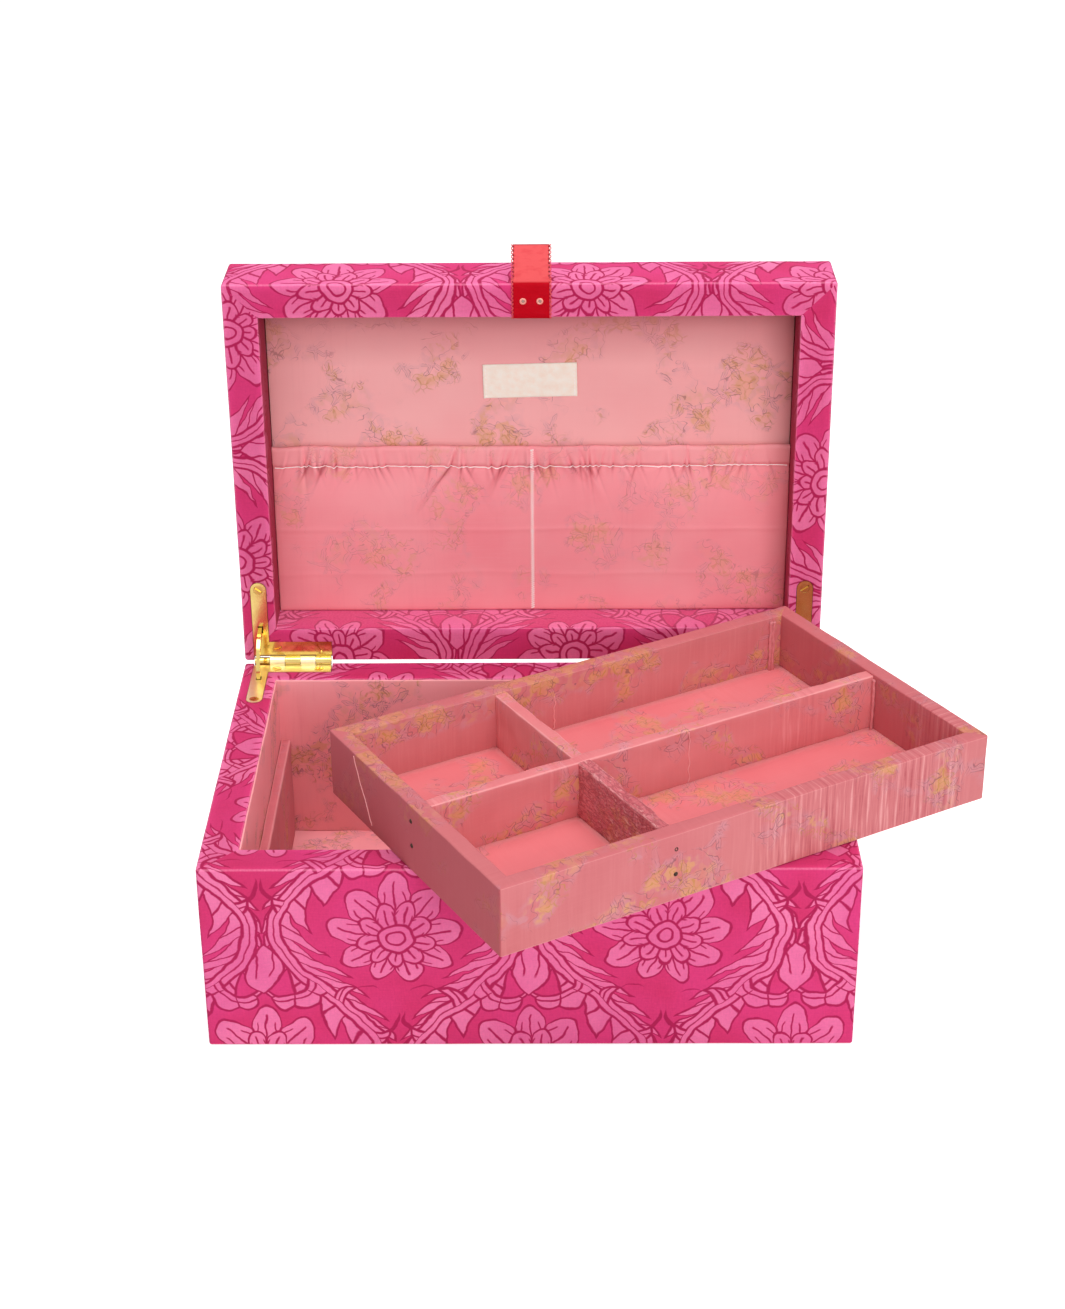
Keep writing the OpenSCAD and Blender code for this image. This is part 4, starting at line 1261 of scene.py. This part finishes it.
def trayDividers():
    s = traySizes
    half = s["divider"] / 2
    low, top = 3.2, s["h"] - s["drop"]
    soft = 0.75
    along = roundedBlock("long_divider_cloth", (-innerX - 0.6, longY - half, low),
                         (innerX + 0.6, longY + half, top), soft, 3.0, liningTray, 0, 51.0, 0.55)
    front = roundedBlock("cross_divider_front", (crossX - half, -innerY - 0.6, low),
                         (crossX + half, longY - half + 0.7, top - 0.2), soft, 2.2, liningCrumpled, 1, 57.0,
                         1.1)
    back = roundedBlock("cross_divider_back", (crossX - half, longY + half - 0.7, low),
                        (crossX + half, innerY + 0.6, top - 0.3), soft, 3.0, liningTray, 1, 61.0, 0.5)
    return along, front, back


def trayFloor():
    # one loose cloth in each compartment, curling up a little at its edges
    s = traySizes
    half = s["divider"] / 2
    points, faces, wearAndShade = [], [], []
    for y0, y1 in ((-innerY, longY - half), (longY + half, innerY)):
        for x0, x1 in ((-innerX, crossX - half), (crossX + half, innerX)):
            nx, ny = int((x1 - x0) / s["floorStep"]), int((y1 - y0) / s["floorStep"])
            faces += gridFaces(nx, ny, len(points))
            for j in range(ny + 1):
                for i in range(nx + 1):
                    x, y = x0 + (x1 - x0) * i / nx, y0 + (y1 - y0) * j / ny
                    near = min(x - x0, x1 - x, y - y0, y1 - y)
                    curl = max(0.0, 1 - near / s["curlReach"]) ** 2 * s["curl"]
                    points.append((x, y, s["floor"] + curl + 0.22 * ripple(x / 14, y / 14, 71)))
                    wearAndShade.append(0.9 if near < 0.1 else 0.0)
    places = [(x + 400, y + 90) for x, y, z in points]
    floor = toMesh("tray_floor_lining", points, faces, byCorner(faces, places), wearAndShade, liningFloor)
    thicken(floor, s["floorCloth"], -1)
    return floor


nailSizes = {"heights": (12.9, 24.7),
             "outline": ((1.0, 0.5), (1.05, -0.1), (0.85, -0.32), (0.5, -0.3), (0.35, -0.12), (0.05, -0.1))}


def trayNails():
    s = nailSizes
    heads = []
    for n, z in enumerate(s["heights"]):
        heads.append(lathe("nail_head_front_%d" % n, s["outline"], (crossX, z), -halfW, nailSteel, 16))
        side = lathe("nail_head_left_%d" % n, s["outline"], (-longY, z), -halfL, nailSteel, 16)
        heads.append(moved(side, lambda p: (p.y, -p.x, p.z)))
    return heads


foldSizes = {"crease": 0.28, "ruffle": 0.72, "rows": 3, "spread": 0.95, "wave": 0.55}


def clothFolds():
    # a crease on the left wall, and the overlapping edges of the cloth inside
    spots = [i / 24 for i in range(25)]
    crease = [(-halfL - 0.05 + 0.1 * wobbleAt((0, t * 9, 0), 3, 4),
               52 - 16 * t + 0.8 * wobbleAt((t * 20, 3, 1), 3, 2), 30.5 - 27 * t) for t in spots]
    lap = [(14.0 + 0.9 * wobbleAt((t * 30, 0, 3), 4, 7), longY - 3.12, 30.2 - 26 * t) for t in spots]
    lapBack = [(-12.0 + 0.9 * wobbleAt((t * 30, 2, 3), 4, 9), halfW - 7.6, 22 - 17 * t) for t in spots]
    return tube("tray_cloth_folds", [crease, lap, lapBack], foldSizes["crease"], foldPale, 6)


def bunchedCloth():
    # bunched cloth in the far corner, and a wavy glued edge by the long divider
    s = foldSizes
    ruffles = []
    spots = ((innerX - 5.5, halfW - 7.9, 1, 0), (innerX - 0.4, longY - 3.6, 0, 1))
    for n, (x, y, ax, ay) in enumerate(spots):
        for m in range(s["rows"]):
            path = []
            for i in range(27):
                z = 4.2 + i * 0.98
                off = s["wave"] * wobbleAt((m * 9, n * 7, z), 3.2, 13 + m) + (m - 1) * s["spread"]
                path.append((x + ax * off - ay * 0.25 * abs(m - 1), y + ay * off - ax * 0.3 * abs(m - 1), z))
            ruffles.append(path)
    return tube("tray_bunched_cloth", ruffles, s["ruffle"], foldRose, 7)


def layInTray(obj, slotName, *nodes):
    return give(moved(obj, trayPose), "tray", slotName, *nodes)


walls = trayWalls()
longDivider, crossFront, crossBack = trayDividers()
floorCloth = trayFloor()
layInTray(walls, "tray_cloth", "tray_front_board", "tray_back_board", "tray_left_board", "tray_right_board")
layInTray(longDivider, "tray_cloth", "long_divider")
layInTray(crossFront, "tray_cloth", "cross_divider")
layInTray(crossBack, "tray_cloth")
layInTray(floorCloth, "tray_cloth", "tray_floor_cloth")
for n, head in enumerate(trayNails()):
    layInTray(head, "nail_steel", *(["tray_nails"] if n == 0 else []))
layInTray(clothFolds(), "tray_cloth")
layInTray(bunchedCloth(), "tray_cloth")
print("tray made")


# finishes of the CAD pieces that are shown as they are
cadFinish = {"base_felt": feltFinish, "tray_base": liningTray}
cadEdge = {}
for nodeName in cadNodes:
    if nodeName.endswith("_box_leaf"):
        cadFinish[nodeName], cadEdge[nodeName] = brassSatinHighlight, 0.3
    elif nodeName.endswith(("_lid_leaf", "_stay_arm")):
        cadFinish[nodeName], cadEdge[nodeName] = brass, 0.3
    elif nodeName.endswith("_leaf_screws"):
        cadFinish[nodeName], cadEdge[nodeName] = brassPaintedShade, 0.12
    elif nodeName.endswith("_hinge_pin"):
        cadFinish[nodeName] = brass
    elif nodeName.endswith("_board") and not nodeName.startswith("tray_"):
        cadFinish[nodeName] = boardRaw
for nodeName, finish in cadFinish.items():
    obj = cadNodes[nodeName]
    if not obj.material_slots:
        obj.data.materials.append(finish)
    for place in obj.material_slots:
        place.material = finish
    if nodeName in cadEdge:
        soften(obj, cadEdge[nodeName], 3, 35)
print("CAD pieces finished")


stageLook = {"floor": "F4F4F4", "floorGlow": "CDCDCD", "floorHalf": 3000, "sky": 0.5, "shine": 0.9,
             "key": 11.0, "fill": 0.7, "top": 8.5, "aim": (0, 0, 0.12)}


def grey(level):
    return (level, level, level, 1)


def stageFloor():
    g = Graph("stage_white")
    seen = g.add("ShaderNodeLightPath", out="Is Camera Ray")
    glow = g.mix(seen, "000000", stageLook["floorGlow"])
    g.finish(Base_Color=stageLook["floor"], Roughness=1.0, Specular_IOR_Level=0.0, Emission_Color=glow,
             Emission_Strength=1.0)
    size = stageLook["floorHalf"]
    points = [(-size, -size, -0.02), (size, -size, -0.02), (size, size, -0.02), (-size, size, -0.02)]
    toMesh("floor", points, [[0, 1, 2, 3]], None, None, g.owner, False)


def studioAir():
    # grey for the light on the object, brighter in its gloss, and white behind it
    g = Graph("studio", "worlds")
    glossy = g.add("ShaderNodeLightPath", out="Is Glossy Ray")
    light = g.mix(glossy, grey(stageLook["sky"]), grey(stageLook["shine"]))
    back = g.add("ShaderNodeBackground", None, {0: g.mix(glossy.out("Is Camera Ray"), light, grey(1.0))})
    g.add("ShaderNodeOutputWorld", None, {0: back})
    bpy.context.scene.world = g.owner


def areaLight(name, at, aim, size, power):
    light = bpy.data.lights.new(name, "AREA")
    light.shape = "RECTANGLE"
    light.size, light.size_y = size
    light.energy = power
    obj = bpy.data.objects.new(name, light)
    bpy.context.scene.collection.objects.link(obj)
    obj.location = at
    obj.rotation_euler = (Vector(aim) - Vector(at)).to_track_quat("-Z", "Y").to_euler()


cameraLook = {"lens": 66.99, "at": (0.01034, -0.96349, 0.63043), "pitch": 26.858, "yaw": -0.539,
              "roll": -0.443}


def addCamera():
    look = cameraLook
    camera = bpy.data.cameras.new("camera")
    camera.lens = look["lens"]
    camera.sensor_width = 36.0
    camera.clip_start = 0.05
    obj = bpy.data.objects.new("camera", camera)
    bpy.context.scene.collection.objects.link(obj)
    pitch, yaw, roll = [math.radians(look[key]) for key in ("pitch", "yaw", "roll")]
    ahead = Vector((math.sin(yaw) * math.cos(pitch), math.cos(yaw) * math.cos(pitch), -math.sin(pitch)))
    level = Vector((math.cos(yaw), -math.sin(yaw), 0))
    steep = level.cross(ahead)
    right = level * math.cos(roll) + steep * math.sin(roll)
    up = steep * math.cos(roll) - level * math.sin(roll)
    rows = [[right[i], up[i], -ahead[i], look["at"][i]] for i in range(3)] + [[0, 0, 0, 1]]
    obj.matrix_world = Matrix(rows)
    bpy.context.scene.camera = obj


stageFloor()
studioAir()
areaLight("key", (0.62, -1.42, 0.78), stageLook["aim"], (0.9, 0.7), stageLook["key"])
areaLight("fill", (-0.9, -0.9, 0.7), stageLook["aim"], (0.6, 0.6), stageLook["fill"])
areaLight("top", (0.0, -0.1, 1.3), (0, 0, 0.1), (0.9, 0.7), stageLook["top"])
addCamera()
bpy.context.scene.view_settings.view_transform = "Standard"
bpy.context.view_layer.update()
print("stage, lights and camera set")
